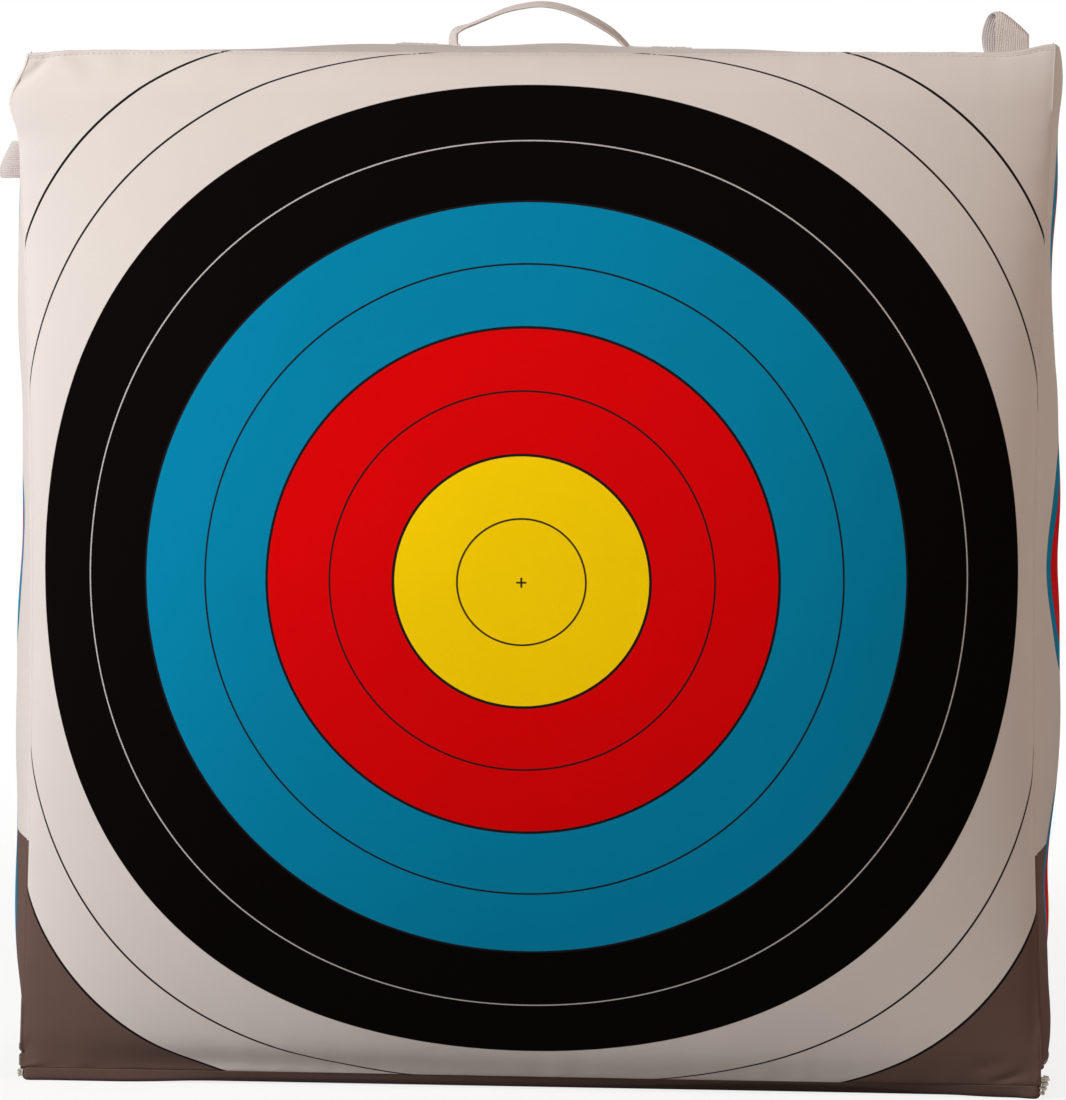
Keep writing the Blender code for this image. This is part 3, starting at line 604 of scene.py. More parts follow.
def make_side_panel(name, side, bulges, puff, material, seed):
    depth = HALF_DEPTH - GAP
    y, z = np.meshgrid(graded(-depth, depth), graded(HEM_Z, TOP_Z - 0.0004), indexing="ij")
    from_seam = np.minimum(y + depth, depth - y)
    x = half_width(z) + SIDE_CROWN * (1 - (y / HALF_DEPTH) ** 2) * body_swell(z)
    x = add_bulges(x, z, y, bulges, puff)
    x += ridge_profile(from_seam) + hem_profile(z - HEM_Z)
    x += puckers(z, from_seam, seed) + puckers(y, TOP_Z - z, seed + 1)
    x += 0.0012 * ripple(y, z, 0.11, seed + 2) * rise(from_seam, 0.01, 0.05) * rise(z, 0.03, 0.08)
    forward = 0.0009 * (bump(y, -depth, 0.0022) - bump(y, depth, 0.0022))
    points = settle(np.stack([side * x, y - forward, z], -1))
    flat = flat_by_length(points)
    thing = add_sheet(name + "_cover_panel", points, flat, material, (side, 0, 0))
    declare_panel(thing, name + "_panel")
    rows = {
        "front": points[nearest(y[:, 0], -depth + STITCH_INSET)],
        "back": points[nearest(y[:, 0], depth - STITCH_INSET)],
        "hem": points[:, nearest(z[0], HEM_Z + HEM_STITCH)],
    }
    sew_rows(name, rows, (side, 0, 0))


def make_back_panel(material):
    across = graded(-1.0, 1.0, FINE_STEP / END_HALF_WIDTH, COARSE_STEP / END_HALF_WIDTH)
    a, z = np.meshgrid(across, graded(HEM_Z, TOP_Z), indexing="ij")
    from_top = TOP_Z - z
    from_side = (1 - np.abs(a)) * END_HALF_WIDTH
    swell = BACK_CROWN * body_swell(z) * (1 - a**4)
    out = swell + ridge_profile(from_top) + hem_profile(z - HEM_Z)
    out += puckers(a * END_HALF_WIDTH, from_top, 41) + puckers(z, from_side, 42)
    uneven = 0.0015 * ripple(a * END_HALF_WIDTH, z, 0.13, 43)
    out += uneven * rise(from_side, 0.01, 0.06) * rise(from_top, 0.01, 0.06)
    points = settle(np.stack([a * half_width(z), HALF_DEPTH + out, z], -1))
    flat = flat_by_length(points)
    thing = add_sheet("back_cover_panel", points, flat, material, (0, 1, 0))
    declare_panel(thing, "back_panel")
    rows = {
        "top": points[:, nearest(z[0], TOP_Z - STITCH_INSET)],
        "hem": points[:, nearest(z[0], HEM_Z + HEM_STITCH)],
    }
    sew_rows("back", rows, (0, 1, 0))


def top_height(x, y):
    """Height of the top panel: slack towards its ends, fullest left of the handle and pressed down
    under the handle's tails.
    """
    crown = TOP_CROWN_MIDDLE + (TOP_CROWN_LEFT_END - TOP_CROWN_MIDDLE) * rise(-x, 0.12, 0.20)
    crown = crown + (TOP_CROWN_RIGHT_END - TOP_CROWN_MIDDLE) * rise(x, 0.12, 0.20)
    crown = crown + TOP_CROWN_LEFT * bump(x, -0.11, 0.06) + TOP_CROWN_CENTRE * bump(x, 0.012, 0.040)
    crown = crown * (1 - (y / HALF_DEPTH) ** 2) * (1 - (x / END_HALF_WIDTH) ** 4)
    pressed = rise(np.abs(x), 0.050, 0.060) * (1 - rise(np.abs(x), 0.098, 0.115))
    pressed = pressed * (1 - rise(np.abs(y), 0.012, 0.030))
    return TOP_Z + crown - 0.0012 * pressed


def make_top_panel(material):
    depth = HALF_DEPTH - GAP
    x, y = np.meshgrid(graded(-END_HALF_WIDTH, END_HALF_WIDTH), graded(-depth, depth), indexing="ij")
    from_seam = np.minimum(y + depth, depth - y)
    from_side = END_HALF_WIDTH - np.abs(x)
    z = top_height(x, y) - 0.0010 * bump(from_side, 0.0, 0.0008)
    z += 0.0003 * bump(from_seam, 0.0016, 0.0016) - 0.0005 * bump(from_seam, 0.0, 0.0005)
    z += puckers(x, from_seam, 51, 0.0005) + puckers(y, from_side, 52, 0.0005)
    points = settle(np.stack([x, y, z], -1))
    flat = flat_by_length(points)
    thing = add_sheet("top_cover_panel", points, flat, material, (0, 0, 1))
    declare_panel(thing, "top_panel")


# Sewing


def stitch_shape():
    """One stitch along X, of unit length and radius, as points and faces."""
    select_nothing()
    bpy.ops.mesh.primitive_uv_sphere_add(segments=6, ring_count=4, radius=1.0)
    points, faces = take_shape(bpy.context.object)
    points = points[:, [2, 0, 1]]
    points[:, 0] *= 0.5
    return points, faces


def evenly(path, pitch):
    """Places and directions at an even pitch along a path, half a pitch from its ends."""
    path = np.asarray(path, float)
    length = lengths(path)
    count = max(2, int(length[-1] / pitch))
    marks = (np.arange(count) + 0.5) * length[-1] / count
    ahead, behind = (points_at(path, length, marks + step) for step in (pitch / 4, -pitch / 4))
    return points_at(path, length, marks), unit(ahead - behind)


def lay_copies(name, shape, places, axes, size, material):
    """One object of many copies of a shape. axes are the copies' own X, Y and Z directions."""
    points, faces = shape
    scaled = points * np.array(size)
    laid = places[:, None, :] + sum(scaled[None, :, k, None] * axes[k][:, None, :] for k in range(3))
    joined = []
    for index in range(len(places)):
        joined += [[corner + index * len(points) for corner in face] for face in faces]
    thing = add_mesh(name, laid.reshape(-1, 3), joined, material)
    repair_normals(thing)
    return thing


def add_stitches(name, path, outward):
    """A row of stitches along a path, half sunk in the cloth."""
    places, along = evenly(path, STITCH_PITCH)
    side = unit(np.cross(np.broadcast_to(np.array(outward, float), places.shape), along))
    up = np.cross(along, side)
    return lay_stitches(name, places + up * THREAD * THREAD_RISE, (along, side, up))


def lay_stitches(name, places, axes):
    size = (STITCH_LENGTH, THREAD, THREAD)
    return lay_copies(name, stitch_shape(), places, axes, size, MATERIALS["thread"])


# Handle and hanging loops


def smooth_path(points, count):
    """A smooth curve through given points."""
    points = np.asarray(points, float)
    ends = np.concatenate([[2 * points[0] - points[1]], points, [2 * points[-1] - points[-2]]])
    chord = lengths(points)
    result = []
    for mark in np.linspace(0, chord[-1], count):
        index = min(int(np.searchsorted(chord, mark, side="right")) - 1, len(points) - 2)
        part = (mark - chord[index]) / (chord[index + 1] - chord[index])
        before, start, end, after = ends[index : index + 4]
        result.append(
            0.5 * (2 * start + (end - before) * part + (2 * before - 5 * start + 4 * end - after) * part**2)
            + 0.5 * (3 * start - before - 3 * end + after) * part**3
        )
    return np.array(result)


def add_webbing(name, points, along, material, thickness=WEBBING_THICKNESS):
    """A webbing strap from a grid of middle points, with ribs along it. along gives each row's
    length from the start.
    """
    rows, columns = points.shape[:2]
    width = np.linalg.norm(np.diff(points, axis=1), axis=-1)
    across = np.concatenate([np.zeros((rows, 1)), np.cumsum(width, axis=1)], axis=1)
    across -= across[:, -1:] / 2
    normal = unit(np.cross(np.gradient(points, axis=0), np.gradient(points, axis=1)))
    rib = RIB_HEIGHT * np.cos(2 * math.pi * across / RIB_PITCH)
    edge = np.abs(np.linspace(-1, 1, columns)) ** 14
    half = thickness / 2 * np.sqrt(1 - 0.92 * edge)[None, :] + rib * (1 - edge)[None, :]
    outer, inner = points + normal * half[..., None], points - normal * half[..., None]
    ring = np.concatenate([outer, inner[:, ::-1]], axis=1)
    faces = [list(face) for face in grid_faces(rows, 2 * columns, closed=True)]
    for column in range(columns - 1):
        for row in (0, rows - 1):
            near, far = row * 2 * columns + column, (row + 1) * 2 * columns - 1 - column
            faces.append([near, near + 1, far - 1, far])
    thing = add_mesh(name, ring.reshape(-1, 3), faces, material)
    run = np.broadcast_to(np.asarray(along)[:, None], across.shape)
    flat = np.stack([across, run], -1)
    set_uv(thing, np.concatenate([flat, flat[:, ::-1]], axis=1))
    repair_normals(thing)
    return thing


# Middle line of the handle in X and Z, from its left foot to its right one
HANDLE_LINE = (
    (-0.0598, 0.6700),
    (-0.0600, 0.6760),
    (-0.0590, 0.6803),
    (-0.0550, 0.6826),
    (-0.0508, 0.6843),
    (-0.0412, 0.6881),
    (-0.0264, 0.6940),
    (-0.0135, 0.6971),
    (-0.0020, 0.6984),
    (0.0095, 0.6970),
    (0.0207, 0.6935),
    (0.0326, 0.6877),
    (0.0431, 0.6813),
    (0.0505, 0.6750),
    (0.0550, 0.6700),
)
HANDLE_ROOT_HALF = 0.0068


def make_handle(material):
    """The arch: gathered at its roots, tilted so that its upper face shows, twisted at the left."""
    line = smooth_path(HANDLE_LINE, 150)
    along = lengths(line)
    tangent = unit(np.gradient(line, axis=0))
    run = along / along[-1]
    open_width = rise(run, 0.02, 0.26) * (1 - rise(run, 0.78, 0.98))
    half = HANDLE_ROOT_HALF + (WEBBING_HALF - HANDLE_ROOT_HALF) * open_width
    tilt = 4 + 4 * rise(run, 0.15, 0.5) + 24 * (1 - rise(run, 0.02, 0.16)) + 3 * rise(run, 0.7, 1.0)
    tilt = np.radians(tilt)
    normal = np.stack([-tangent[:, 1], np.zeros(len(line)), tangent[:, 0]], -1)
    back = np.array([0.0, 1.0, 0.0])
    width = back[None, :] * np.cos(tilt)[:, None] + normal * np.sin(tilt)[:, None]
    across = np.linspace(-1, 1, 81)
    middle = np.stack([line[:, 0], np.zeros(len(line)), line[:, 1]], -1)
    points = middle[:, None, :] + (half[:, None] * across[None, :])[..., None] * width[:, None, :]
    sag = 0.0007 * (1 - across**2)[None, :] * ripple(run[:, None], across[None, :] * 0.1, 0.5, 7)
    points = points + sag[..., None] * normal[:, None, :]
    strap = add_webbing("carrying_handle", points, along, material)
    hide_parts("handle_strap")
    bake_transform(strap)


def make_handle_tails(material):
    """Tails sewn flat on the top panel, with a box of stitches and its diagonals."""
    root = HANDLE_ROOT_HALF / WEBBING_HALF
    for name, side in (("left", -1), ("right", 1)):
        node = "handle_foot_" + name
        low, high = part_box(node)
        near, far = (high.x, low.x) if side < 0 else (low.x, high.x)
        run = np.linspace(near - side * 0.0030, far, 40)
        x, y = np.meshgrid(run, np.linspace(-1, 1, 81) * WEBBING_HALF, indexing="ij")
        y = y * (root + (1 - root) * rise(np.abs(x - near), 0, 0.012))
        points = np.stack([x, y, top_height(x, y) + TAIL_LIFT], -1)
        tail = add_webbing("handle_tail_" + name, points, np.abs(run - near), material, TAIL_THICKNESS)
        stand_in(tail, node)
        inner, outer = near + side * 0.012, far - side * 0.004
        edge = WEBBING_HALF - 0.003
        corners = [(inner, -edge), (outer, -edge), (outer, edge), (inner, edge), (inner, -edge)]
        corners += [(outer, edge), (outer, -edge), (inner, edge)]
        path = []
        for (x0, y0), (x1, y1) in zip(corners, corners[1:]):
            for part in np.linspace(0, 1, 12):
                px, py = x0 + (x1 - x0) * part, y0 + (y1 - y0) * part
                path.append((px, py, float(top_height(np.array(px), np.array(py))) + TAIL_STITCH_LIFT))
        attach(add_stitches(f"handle_tail_{name}_stitches", path, (0, 0, 1)), "cover")


def loop_grid(reach, lean_of_tip, front_edges, back_edges, ear, phase, across):
    """Folded webbing as (across, out, depth): out from the seam and depth round its hollow."""
    turn, w = np.meshgrid(phase, across, indexing="ij")
    length = reach - lean_of_tip * np.clip((w + 0.6) / 1.6, 0, 1) ** 1.2 - 0.0015 * np.clip(-w - 0.6, 0, 1)
    out = length * (1 - np.abs(turn) ** 2.0) ** 0.75
    depth = np.sign(turn) * 0.0010 * np.abs(turn) ** 0.5 + 0.0050 * np.sin(math.pi * turn)
    back = rise(turn, -0.30, 0.35)
    low = front_edges[0] + (back_edges[0] - front_edges[0]) * back
    high = front_edges[1] + (back_edges[1] - front_edges[1]) * back
    low = low - ear * back * np.sin(math.pi * np.clip(out / reach, 0, 1)) * np.clip(-w, 0, 1)
    return low + (high - low) * (w + 1) / 2, out, depth


def make_hanging_loops(material):
    phase, across = np.linspace(-1, 1, 110), np.linspace(-1, 1, 81)
    low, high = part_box("loop_tail_right")
    loop_y = (low.y + high.y) / 2
    edges = (0.2985, 0.3212), (0.2945, 0.3175)
    wide, out, depth = loop_grid(0.0350, 0.0150, *edges, 0.0050, phase, across)
    points = np.stack([wide, loop_y + depth, TOP_Z - LOOP_ROOT + out], -1)
    add_loop("right", points, material)
    low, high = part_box("loop_tail_left")
    centre = (low.z + high.z) / 2
    seam = float(half_width(np.array(centre))) - LOOP_ROOT
    edges = (-0.0125, 0.0125), (-0.0115, 0.0125)
    wide, out, depth = loop_grid(0.0600, 0.0090, *edges, 0.0020, phase, across)
    points = np.stack([-seam - out, loop_y + depth, centre + wide], -1)
    add_loop("left", points, material)


def add_loop(name, points, material):
    along = lengths(points[:, points.shape[1] // 2])
    loop = add_webbing("hanging_loop_" + name, points, along, material, LOOP_PLY)
    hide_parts("hang_loop_" + name)
    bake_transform(loop)


def make_loop_tails(material):
    """The two plies of each loop's webbing that are sewn into the back seam. The left loop's run
    along X and the right one's along Z.
    """
    for name, run_axis, wide_axis in (("left", 0, 2), ("right", 2, 0)):
        node = "loop_tail_" + name
        low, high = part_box(node)
        run = np.linspace(low[run_axis], high[run_axis], 12)
        wide = low[wide_axis] + (high[wide_axis] - low[wide_axis]) * np.linspace(0, 1, 61)
        for word, side in (("front", -1), ("back", 1)):
            points = np.empty((len(run), len(wide), 3))
            points[..., run_axis] = run[:, None]
            points[..., 1] = (low.y + high.y) / 2 + side * (LOOP_PLY + 0.0001) / 2
            points[..., wide_axis] = wide
            tail = add_webbing(f"{node}_{word}_ply", points, run - low[run_axis], material, LOOP_PLY)
            stand_in(tail, node)


# Bound seams inside the cover


def finish_strip(name, points, flat, material, thickness):
    """A folded strip of tape, thickened evenly to both sides of a grid of points."""
    rows, columns = points.shape[:2]
    strip = add_mesh(name, points.reshape(-1, 3), grid_faces(rows, columns), material)
    set_uv(strip, flat)
    thicken(strip, thickness, 0.0)
    repair_normals(strip)
    return strip


def declare_strip(strip, node, body):
    stand_in(strip, node, body)


def binding_profile():
    """The tape folded over the seam allowance: depth from the cover's face, and distance from
    the seam.
    """
    near, far = BINDING_NEAR + BINDING_TAPE / 2, BINDING_FAR - BINDING_TAPE / 2
    radius = (far - near) / 2
    bend = BINDING_DEPTH - BINDING_TAPE / 2 - radius
    turn = np.linspace(-math.pi / 2, math.pi / 2, 9)
    arc = [(near + radius + radius * math.sin(angle), bend + radius * math.cos(angle)) for angle in turn]
    return np.array([(near, 0.0), (near, bend / 2), *arc, (far, bend / 2), (far, 0.0)])


def make_binding(name, node, sign, low, closed, material):
    """Binding along a side, across the top and down the other side, and if closed also along
    the bottom, with mitred corners. sign is -1 in front and 1 behind.
    """
    corner = BINDING_FAR + MITRE
    climb = np.linspace(low, TOP_Z - corner, 90)
    width = half_width(climb)
    top = half_width(np.array(TOP_Z))
    places = [(w, z, -1, 0) for w, z in zip(width, climb)]
    places.append((top, TOP_Z, -1, -1))
    places += [(x, TOP_Z, 0, -1) for x in np.linspace(top - corner, corner - top, 90)]
    places.append((-top, TOP_Z, 1, -1))
    places += [(-w, z, 1, 0) for w, z in zip(width[::-1], climb[::-1])]
    if closed:
        foot = half_width(np.array(low))
        places = [(GAP, BOTTOM_Z, 0, 1), (foot, BOTTOM_Z, -1, 1), *places]
        places += [(-foot, BOTTOM_Z, 1, 1), (-GAP, BOTTOM_Z, 0, 1)]
    places = np.array(places)
    profile = binding_profile()
    depth = HALF_DEPTH - CLOTH - GAP - profile[:, 1]
    x = places[:, 0, None] + places[:, 2, None] * profile[None, :, 0]
    z = places[:, 1, None] + places[:, 3, None] * profile[None, :, 0]
    y = np.broadcast_to(sign * depth[None, :], x.shape)
    points = settle(np.stack([x, y, z], -1))
    run, across = lengths(places[:, :2]), lengths(profile)
    strip = finish_strip(name, points, np.stack(np.meshgrid(across, run), -1), material, BINDING_TAPE)
    declare_strip(strip, node, "cover")


def make_handle_patches(material):
    """Squares of cloth under the top panel that back up the handle's sewn tails."""
    for name in ("left", "right"):
        node = "handle_patch_" + name
        low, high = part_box(node)
        x, y = np.meshgrid(np.linspace(low.x, high.x, 40), np.linspace(low.y, high.y, 40), indexing="ij")
        points = np.stack([x, y, top_height(x, y) - CLOTH - 2 * GAP], -1)
        patch = add_sheet(node + "_cloth", points, np.stack([x, y], -1), material, (0, 0, 1), 0.0010)
        declare_strip(patch, node, "cover")


# Zip


def zip_line(depth_in, start_in, height):
    """The zip's U at a height, depth_in inside the cover's outer face, left front end first."""
    width, back = END_HALF_WIDTH - depth_in, HALF_DEPTH - depth_in
    radius = ZIP_CORNER_RADIUS - depth_in
    turn = np.radians(np.linspace(180, 90, 25))
    left = np.stack([radius - width + radius * np.cos(turn), back - radius + radius * np.sin(turn)], -1)
    right = left[::-1] * (-1, 1)
    front = -HALF_DEPTH + start_in
    plan = np.array([(-width, front), *left, *right, (width, front)])
    return np.column_stack([plan, np.full(len(plan), height)])


def resample(path, step):
    """Points at even steps along a path, with both ends."""
    length = lengths(path)
    marks = np.linspace(0, length[-1], int(length[-1] / step) + 1)
    return points_at(path, length, marks), marks


def make_zip_tape(name, node, low, high, body, material):
    path, run = resample(zip_line(TAPE_IN, TAPE_START, 0.0), 0.0016)
    z = np.linspace(low, high, 9)
    points = np.repeat(path[:, None, :], len(z), axis=1)
    points[..., 2] = z[None, :]
    flat = np.stack(np.meshgrid(z, run), -1)
    tape = add_sheet(name, points, flat, material, (0, 1, 0), TAPE_THICKNESS)
    declare_strip(tape, node, body)


def tooth_shape():
    """One moulded tooth of unit size: a block with cut edges, thicker at the end that meshes."""
    select_nothing()
    bpy.ops.mesh.primitive_cube_add(size=1.0)
    tooth = bpy.context.object
    bevel_edges(tooth, 0.22, 1)
    points, faces = take_shape(tooth)
    points[:, 0] *= 0.86 + 0.28 * (points[:, 2] > 0)
    return points, faces


def bevel_edges(thing, width, segments):
    edit_all(thing)
    bpy.ops.mesh.bevel(offset=width, segments=segments, affect="EDGES")
    leave_edit()


def make_coil(name, node, side, body, material):
    """A row of teeth above (side 1) or below (side -1) the middle of the zip."""
    middle = ZIP_Z + side * (COIL_PARTING + COIL_HEIGHT) / 2
    depth = (CLOTH - COIL_OUT) / 2
    places, along = evenly(zip_line(depth, COIL_START, middle), TOOTH_PITCH)
    up = np.broadcast_to(np.array([0.0, 0.0, -float(side)]), along.shape)
    out = np.cross(up, along)
    size = (TOOTH_LENGTH, CLOTH + COIL_OUT - 0.0001, COIL_HEIGHT)
    coil = lay_copies(name, tooth_shape(), places, (along, out, up), size, material)
    stand_in(coil, node, body)


def make_zip(tape, coil):
    foot = FLAP_EDGE + 2 * GAP
    parting = TAPE_PARTING / 2
    make_zip_tape("zip_tape_on_cover", "zip_tape_cover", ZIP_Z + parting, BAND_Z - GAP, "cover", tape)
    make_zip_tape("zip_tape_on_flap", "zip_tape_flap", foot, ZIP_Z - parting, "flap", tape)
    make_coil("zip_teeth_on_cover", "zip_coil_cover", 1, "cover", coil)
    make_coil("zip_teeth_on_flap", "zip_coil_flap", -1, "flap", coil)


# Small metal parts


def add_block(name, corner, opposite, rounding, segments=2):
    """A block between two opposite corners, with rounded edges."""
    low, high = (Vector([pick(pair) for pair in zip(corner, opposite)]) for pick in (min, max))
    select_nothing()
    bpy.ops.mesh.primitive_cube_add(size=1.0, location=(low + high) / 2, scale=high - low)
    block = bpy.context.object
    block.name = name
    bpy.ops.object.transform_apply(location=True, rotation=True, scale=True)
    bevel_edges(block, rounding, segments)
    return block


def edit_points(thing, test):
    """Goes into edit mode with only the points selected that pass the test."""
    select_only(thing)
    mesh = thing.data
    mesh.polygons.foreach_set("select", [False] * len(mesh.polygons))
    mesh.edges.foreach_set("select", [False] * len(mesh.edges))
    mesh.vertices.foreach_set("select", [bool(test(point.co)) for point in mesh.vertices])
    bpy.ops.object.mode_set(mode="EDIT")
    bpy.ops.mesh.select_mode(type="VERT")


def combine(thing, other, operation):
    """Joins another object to this one, or cuts it out, and removes it."""
    modifier = thing.modifiers.new(other.name, "BOOLEAN")
    modifier.operation = operation
    modifier.object = other
    apply_modifier(thing, modifier)
    bpy.data.objects.remove(other, do_unlink=True)


def finish_metal(thing, node, body, material):
    thing.data.materials.clear()
    thing.data.materials.append(material)
    thing.data.polygons.foreach_set("material_index", [0] * len(thing.data.polygons))
    select_only(thing)
    bpy.ops.object.shade_smooth_by_angle(angle=math.radians(35))
    stand_in(thing, node, body)


def make_zip_stops(material):
    """A small clamp ahead of each end of the cover's teeth, with a groove round its middle."""
    end = -HALF_DEPTH + COIL_START - GAP
    start = end - STOP_LENGTH
    low_z = ZIP_Z + COIL_PARTING / 2
    middle = low_z + COIL_HEIGHT / 2
    for name, side in (("zip_stop_left", -1), ("zip_stop_right", 1)):
        outer, inner = side * (END_HALF_WIDTH + COIL_OUT), side * (END_HALF_WIDTH - CLOTH)
        stop = add_block(name + "_clamp", (outer, start, low_z), (inner, end, low_z + COIL_HEIGHT), 0.0004)
        floor = (outer - side * 0.0002, start - 0.001, middle - 0.0003)
        outside = (outer + side * 0.001, end + 0.001, middle + 0.0003)
        combine(stop, add_block("groove", floor, outside, 0.0001, 1), "DIFFERENCE")
        finish_metal(stop, name, "cover", material)


def make_bridge(foot_x):
    """The arch over the slider's plate that holds the pull, spun from its bar's section."""
    radius = (BRIDGE_LENGTH - BRIDGE_BAR) / 2
    centre, start = (foot_x, SLIDER_Y, ZIP_Z), (foot_x, SLIDER_Y - radius, ZIP_Z)
    select_nothing()
    bpy.ops.mesh.primitive_plane_add(size=1.0, location=start, rotation=(0, math.pi / 2, 0))
    bridge = bpy.context.object
    bpy.ops.transform.resize(value=(1.0, BRIDGE_BAR, BRIDGE_WIDTH))
    bpy.ops.object.transform_apply(location=True, rotation=True, scale=True)
    edit_all(bridge)
    bpy.ops.mesh.spin(steps=20, angle=-math.pi, center=centre, axis=(0, 0, 1))
    bpy.ops.mesh.select_all(action="SELECT")
    bpy.ops.mesh.fill_holes(sides=4)
    bpy.ops.mesh.select_all(action="SELECT")
    squeeze = BRIDGE_HEIGHT / (radius + BRIDGE_BAR / 2)
    bpy.ops.transform.resize(value=(squeeze, 1.0, 1.0), center_override=centre)
    bpy.ops.mesh.normals_make_consistent(inside=False)
    leave_edit()
    return bridge


def make_slider(material):
    """Two plates joined by a post, narrower where the closed teeth come out, with a bridge."""
    outer = -END_HALF_WIDTH - SLIDER_OUT
    foot = outer - SLIDER_PLATE
    inner = -END_HALF_WIDTH + TAPE_IN + TAPE_THICKNESS + GAP
    low_y, high_y = SLIDER_Y - SLIDER_LENGTH / 2, SLIDER_Y + SLIDER_LENGTH / 2
    low_z, high_z = ZIP_Z - SLIDER_WIDTH / 2, ZIP_Z + SLIDER_WIDTH / 2
    slider = add_block("slider_of_zip", (foot, low_y, low_z), (outer, high_y, high_z), 0.0006, 3)
    narrow_ends(slider)
    back_plate = add_block("back_plate", (inner, low_y, low_z), (inner + 0.0012, high_y, high_z), 0.0004)
    narrow_ends(back_plate)
    combine(slider, back_plate, "UNION")
    post = (COIL_PARTING - 2 * GAP) / 2
    low = (outer - 0.0004, low_y + 0.0004, ZIP_Z - post)
    high = (inner + 0.0004, low_y + 0.0025, ZIP_Z + post)
    combine(slider, add_block("post", low, high, 0.00008, 1), "UNION")
    bridge = make_bridge(foot)
    edit_points(bridge, lambda co: co.x > foot - 0.0001)
    bpy.ops.transform.translate(value=(0.0005, 0, 0))
    leave_edit()
    combine(slider, bridge, "UNION")
    finish_metal(slider, "zip_slider", "slider", material)


def narrow_ends(plate):
    """Draws a plate in at its back end, and a little at its front."""
    for test, amount in (
        (lambda co: co.y > SLIDER_Y + SLIDER_LENGTH / 2 - 0.0012, 0.62),
        (lambda co: co.y < SLIDER_Y - SLIDER_LENGTH / 2 + 0.0012, 0.86),
    ):
        edit_points(plate, test)
        bpy.ops.transform.resize(value=(1.0, 1.0, amount), center_override=(0, SLIDER_Y, ZIP_Z))
        leave_edit()


def make_pull(material):
    """A flat tab: a window for the bridge, a drawn-in waist and a shallow thumb rest."""
    half = PULL_THICKNESS / 2
    end = SLIDER_Y - PULL_BAR / 2
    far = end + PULL_LENGTH
    low = (PULL_AXIS_X - half, end, ZIP_Z - PULL_WIDTH / 2)
    high = (PULL_AXIS_X + half, far, ZIP_Z + PULL_WIDTH / 2)
    pull = add_block("pull_of_zip", low, high, 0.00045, 3)
    start = end + PULL_BAR
    side = WINDOW_WIDTH / 2
    low = (PULL_AXIS_X - 0.002, start, ZIP_Z - side)
    window = add_block("window", low, (PULL_AXIS_X + 0.002, start + WINDOW_LENGTH, ZIP_Z + side), 0.0005)
    combine(pull, window, "DIFFERENCE")
    for face in (-1, 1):
        floor = (PULL_AXIS_X + face * (half - 0.0002), far - 0.0120, ZIP_Z - side)
        outside = (PULL_AXIS_X + face * 0.002, far - 0.0022, ZIP_Z + side)
        combine(pull, add_block("thumb_rest", floor, outside, 0.00018), "DIFFERENCE")
    waist = start + WINDOW_LENGTH
    for edge in (-1, 1):
        middle = ZIP_Z + edge * (PULL_WIDTH / 2 + 0.0008)
        low = (PULL_AXIS_X - 0.002, waist - 0.0002, middle - 0.0014)
        high = (PULL_AXIS_X + 0.002, far - 0.0125, middle + 0.0014)
        combine(pull, add_block("waist_cut", low, high, 0.0010, 4), "DIFFERENCE")
    finish_metal(pull, "zip_pull", "pull", material)


def make_tape_ends(material):
    """The cut ends of the zip tape, folded to and fro outside the two front corners."""
    for name, side, folds, taper, lifted in TAPE_ENDS:
        node = "tape_end_" + name
        low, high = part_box(node)
        near, far = (high.x, low.x) if side < 0 else (low.x, high.x)
        t, w = np.meshgrid(np.linspace(0, 1, 90), np.linspace(0, 1, 15), indexing="ij")
        turn = 2 * math.pi * folds * t + 0.9 * w
        reach = (0.5 - 0.5 * np.cos(turn)) * (1 - taper * t**1.6) * (1 - 0.15 * w)
        y = low.y + 0.0002 + (high.y - low.y - 0.0004) * w
        ahead = 1 - rise(y, -HALF_DEPTH, -HALF_DEPTH + FLAP_FRONT_RADIUS)
        start = near + side * (0.0003 - 0.0020 * ahead)
        x = start + (far - side * 0.0004 - start) * (0.02 + 0.98 * reach)
        top = high.z + lifted
        z = top - 0.0005 - (top - low.z - 0.0010) * (t + 0.030 * np.sin(turn + 0.5))
        points = np.stack([x, y, np.clip(z, low.z + 0.0004, top - 0.0004)], -1)
        run = lengths(points[:, 7])
        width = high.y - low.y - 0.0004
        flat = np.stack([width * w, run[:, None] + 0 * w], -1)
        strip = finish_strip(node + "_folds", points, flat, material, TAPE_THICKNESS)
        declare_strip(strip, node, "cover")


# Bottom flap


def round_plan(x, y, edge):
    """The flap's plan, height and way up from the flat cloth's own X and Y."""
    radius = np.where(y < 0, FLAP_FRONT_RADIUS, ZIP_CORNER_RADIUS)
    across, along = np.abs(x) - (END_HALF_WIDTH - radius), np.abs(y) - (HALF_DEPTH - radius)
    beyond = np.maximum(across, along)
    bend = np.clip((beyond - radius + edge) / edge, 0, math.pi / 2)
    straight = np.minimum(beyond, radius - edge)
    reach = np.where(bend > 0, radius - edge + edge * np.sin(bend), straight)
    wall = np.maximum(0.0, beyond - (radius - edge) - edge * math.pi / 2)
    corner = (across > 0) & (along > 0)
    size = np.hypot(across, along) + 1e-12
    out_x = np.where(corner, reach * across / size, np.where(across >= along, reach, across))
    out_y = np.where(corner, reach * along / size, np.where(along > across, reach, along))
    plan_x = np.sign(x) * (END_HALF_WIDTH - radius + out_x)
    plan_y = np.sign(y) * (HALF_DEPTH - radius + out_y)
    inside = beyond <= 0
    plan_x, plan_y = np.where(inside, x, plan_x), np.where(inside, y, plan_y)
    return plan_x, plan_y, edge * (1 - np.cos(bend)), wall


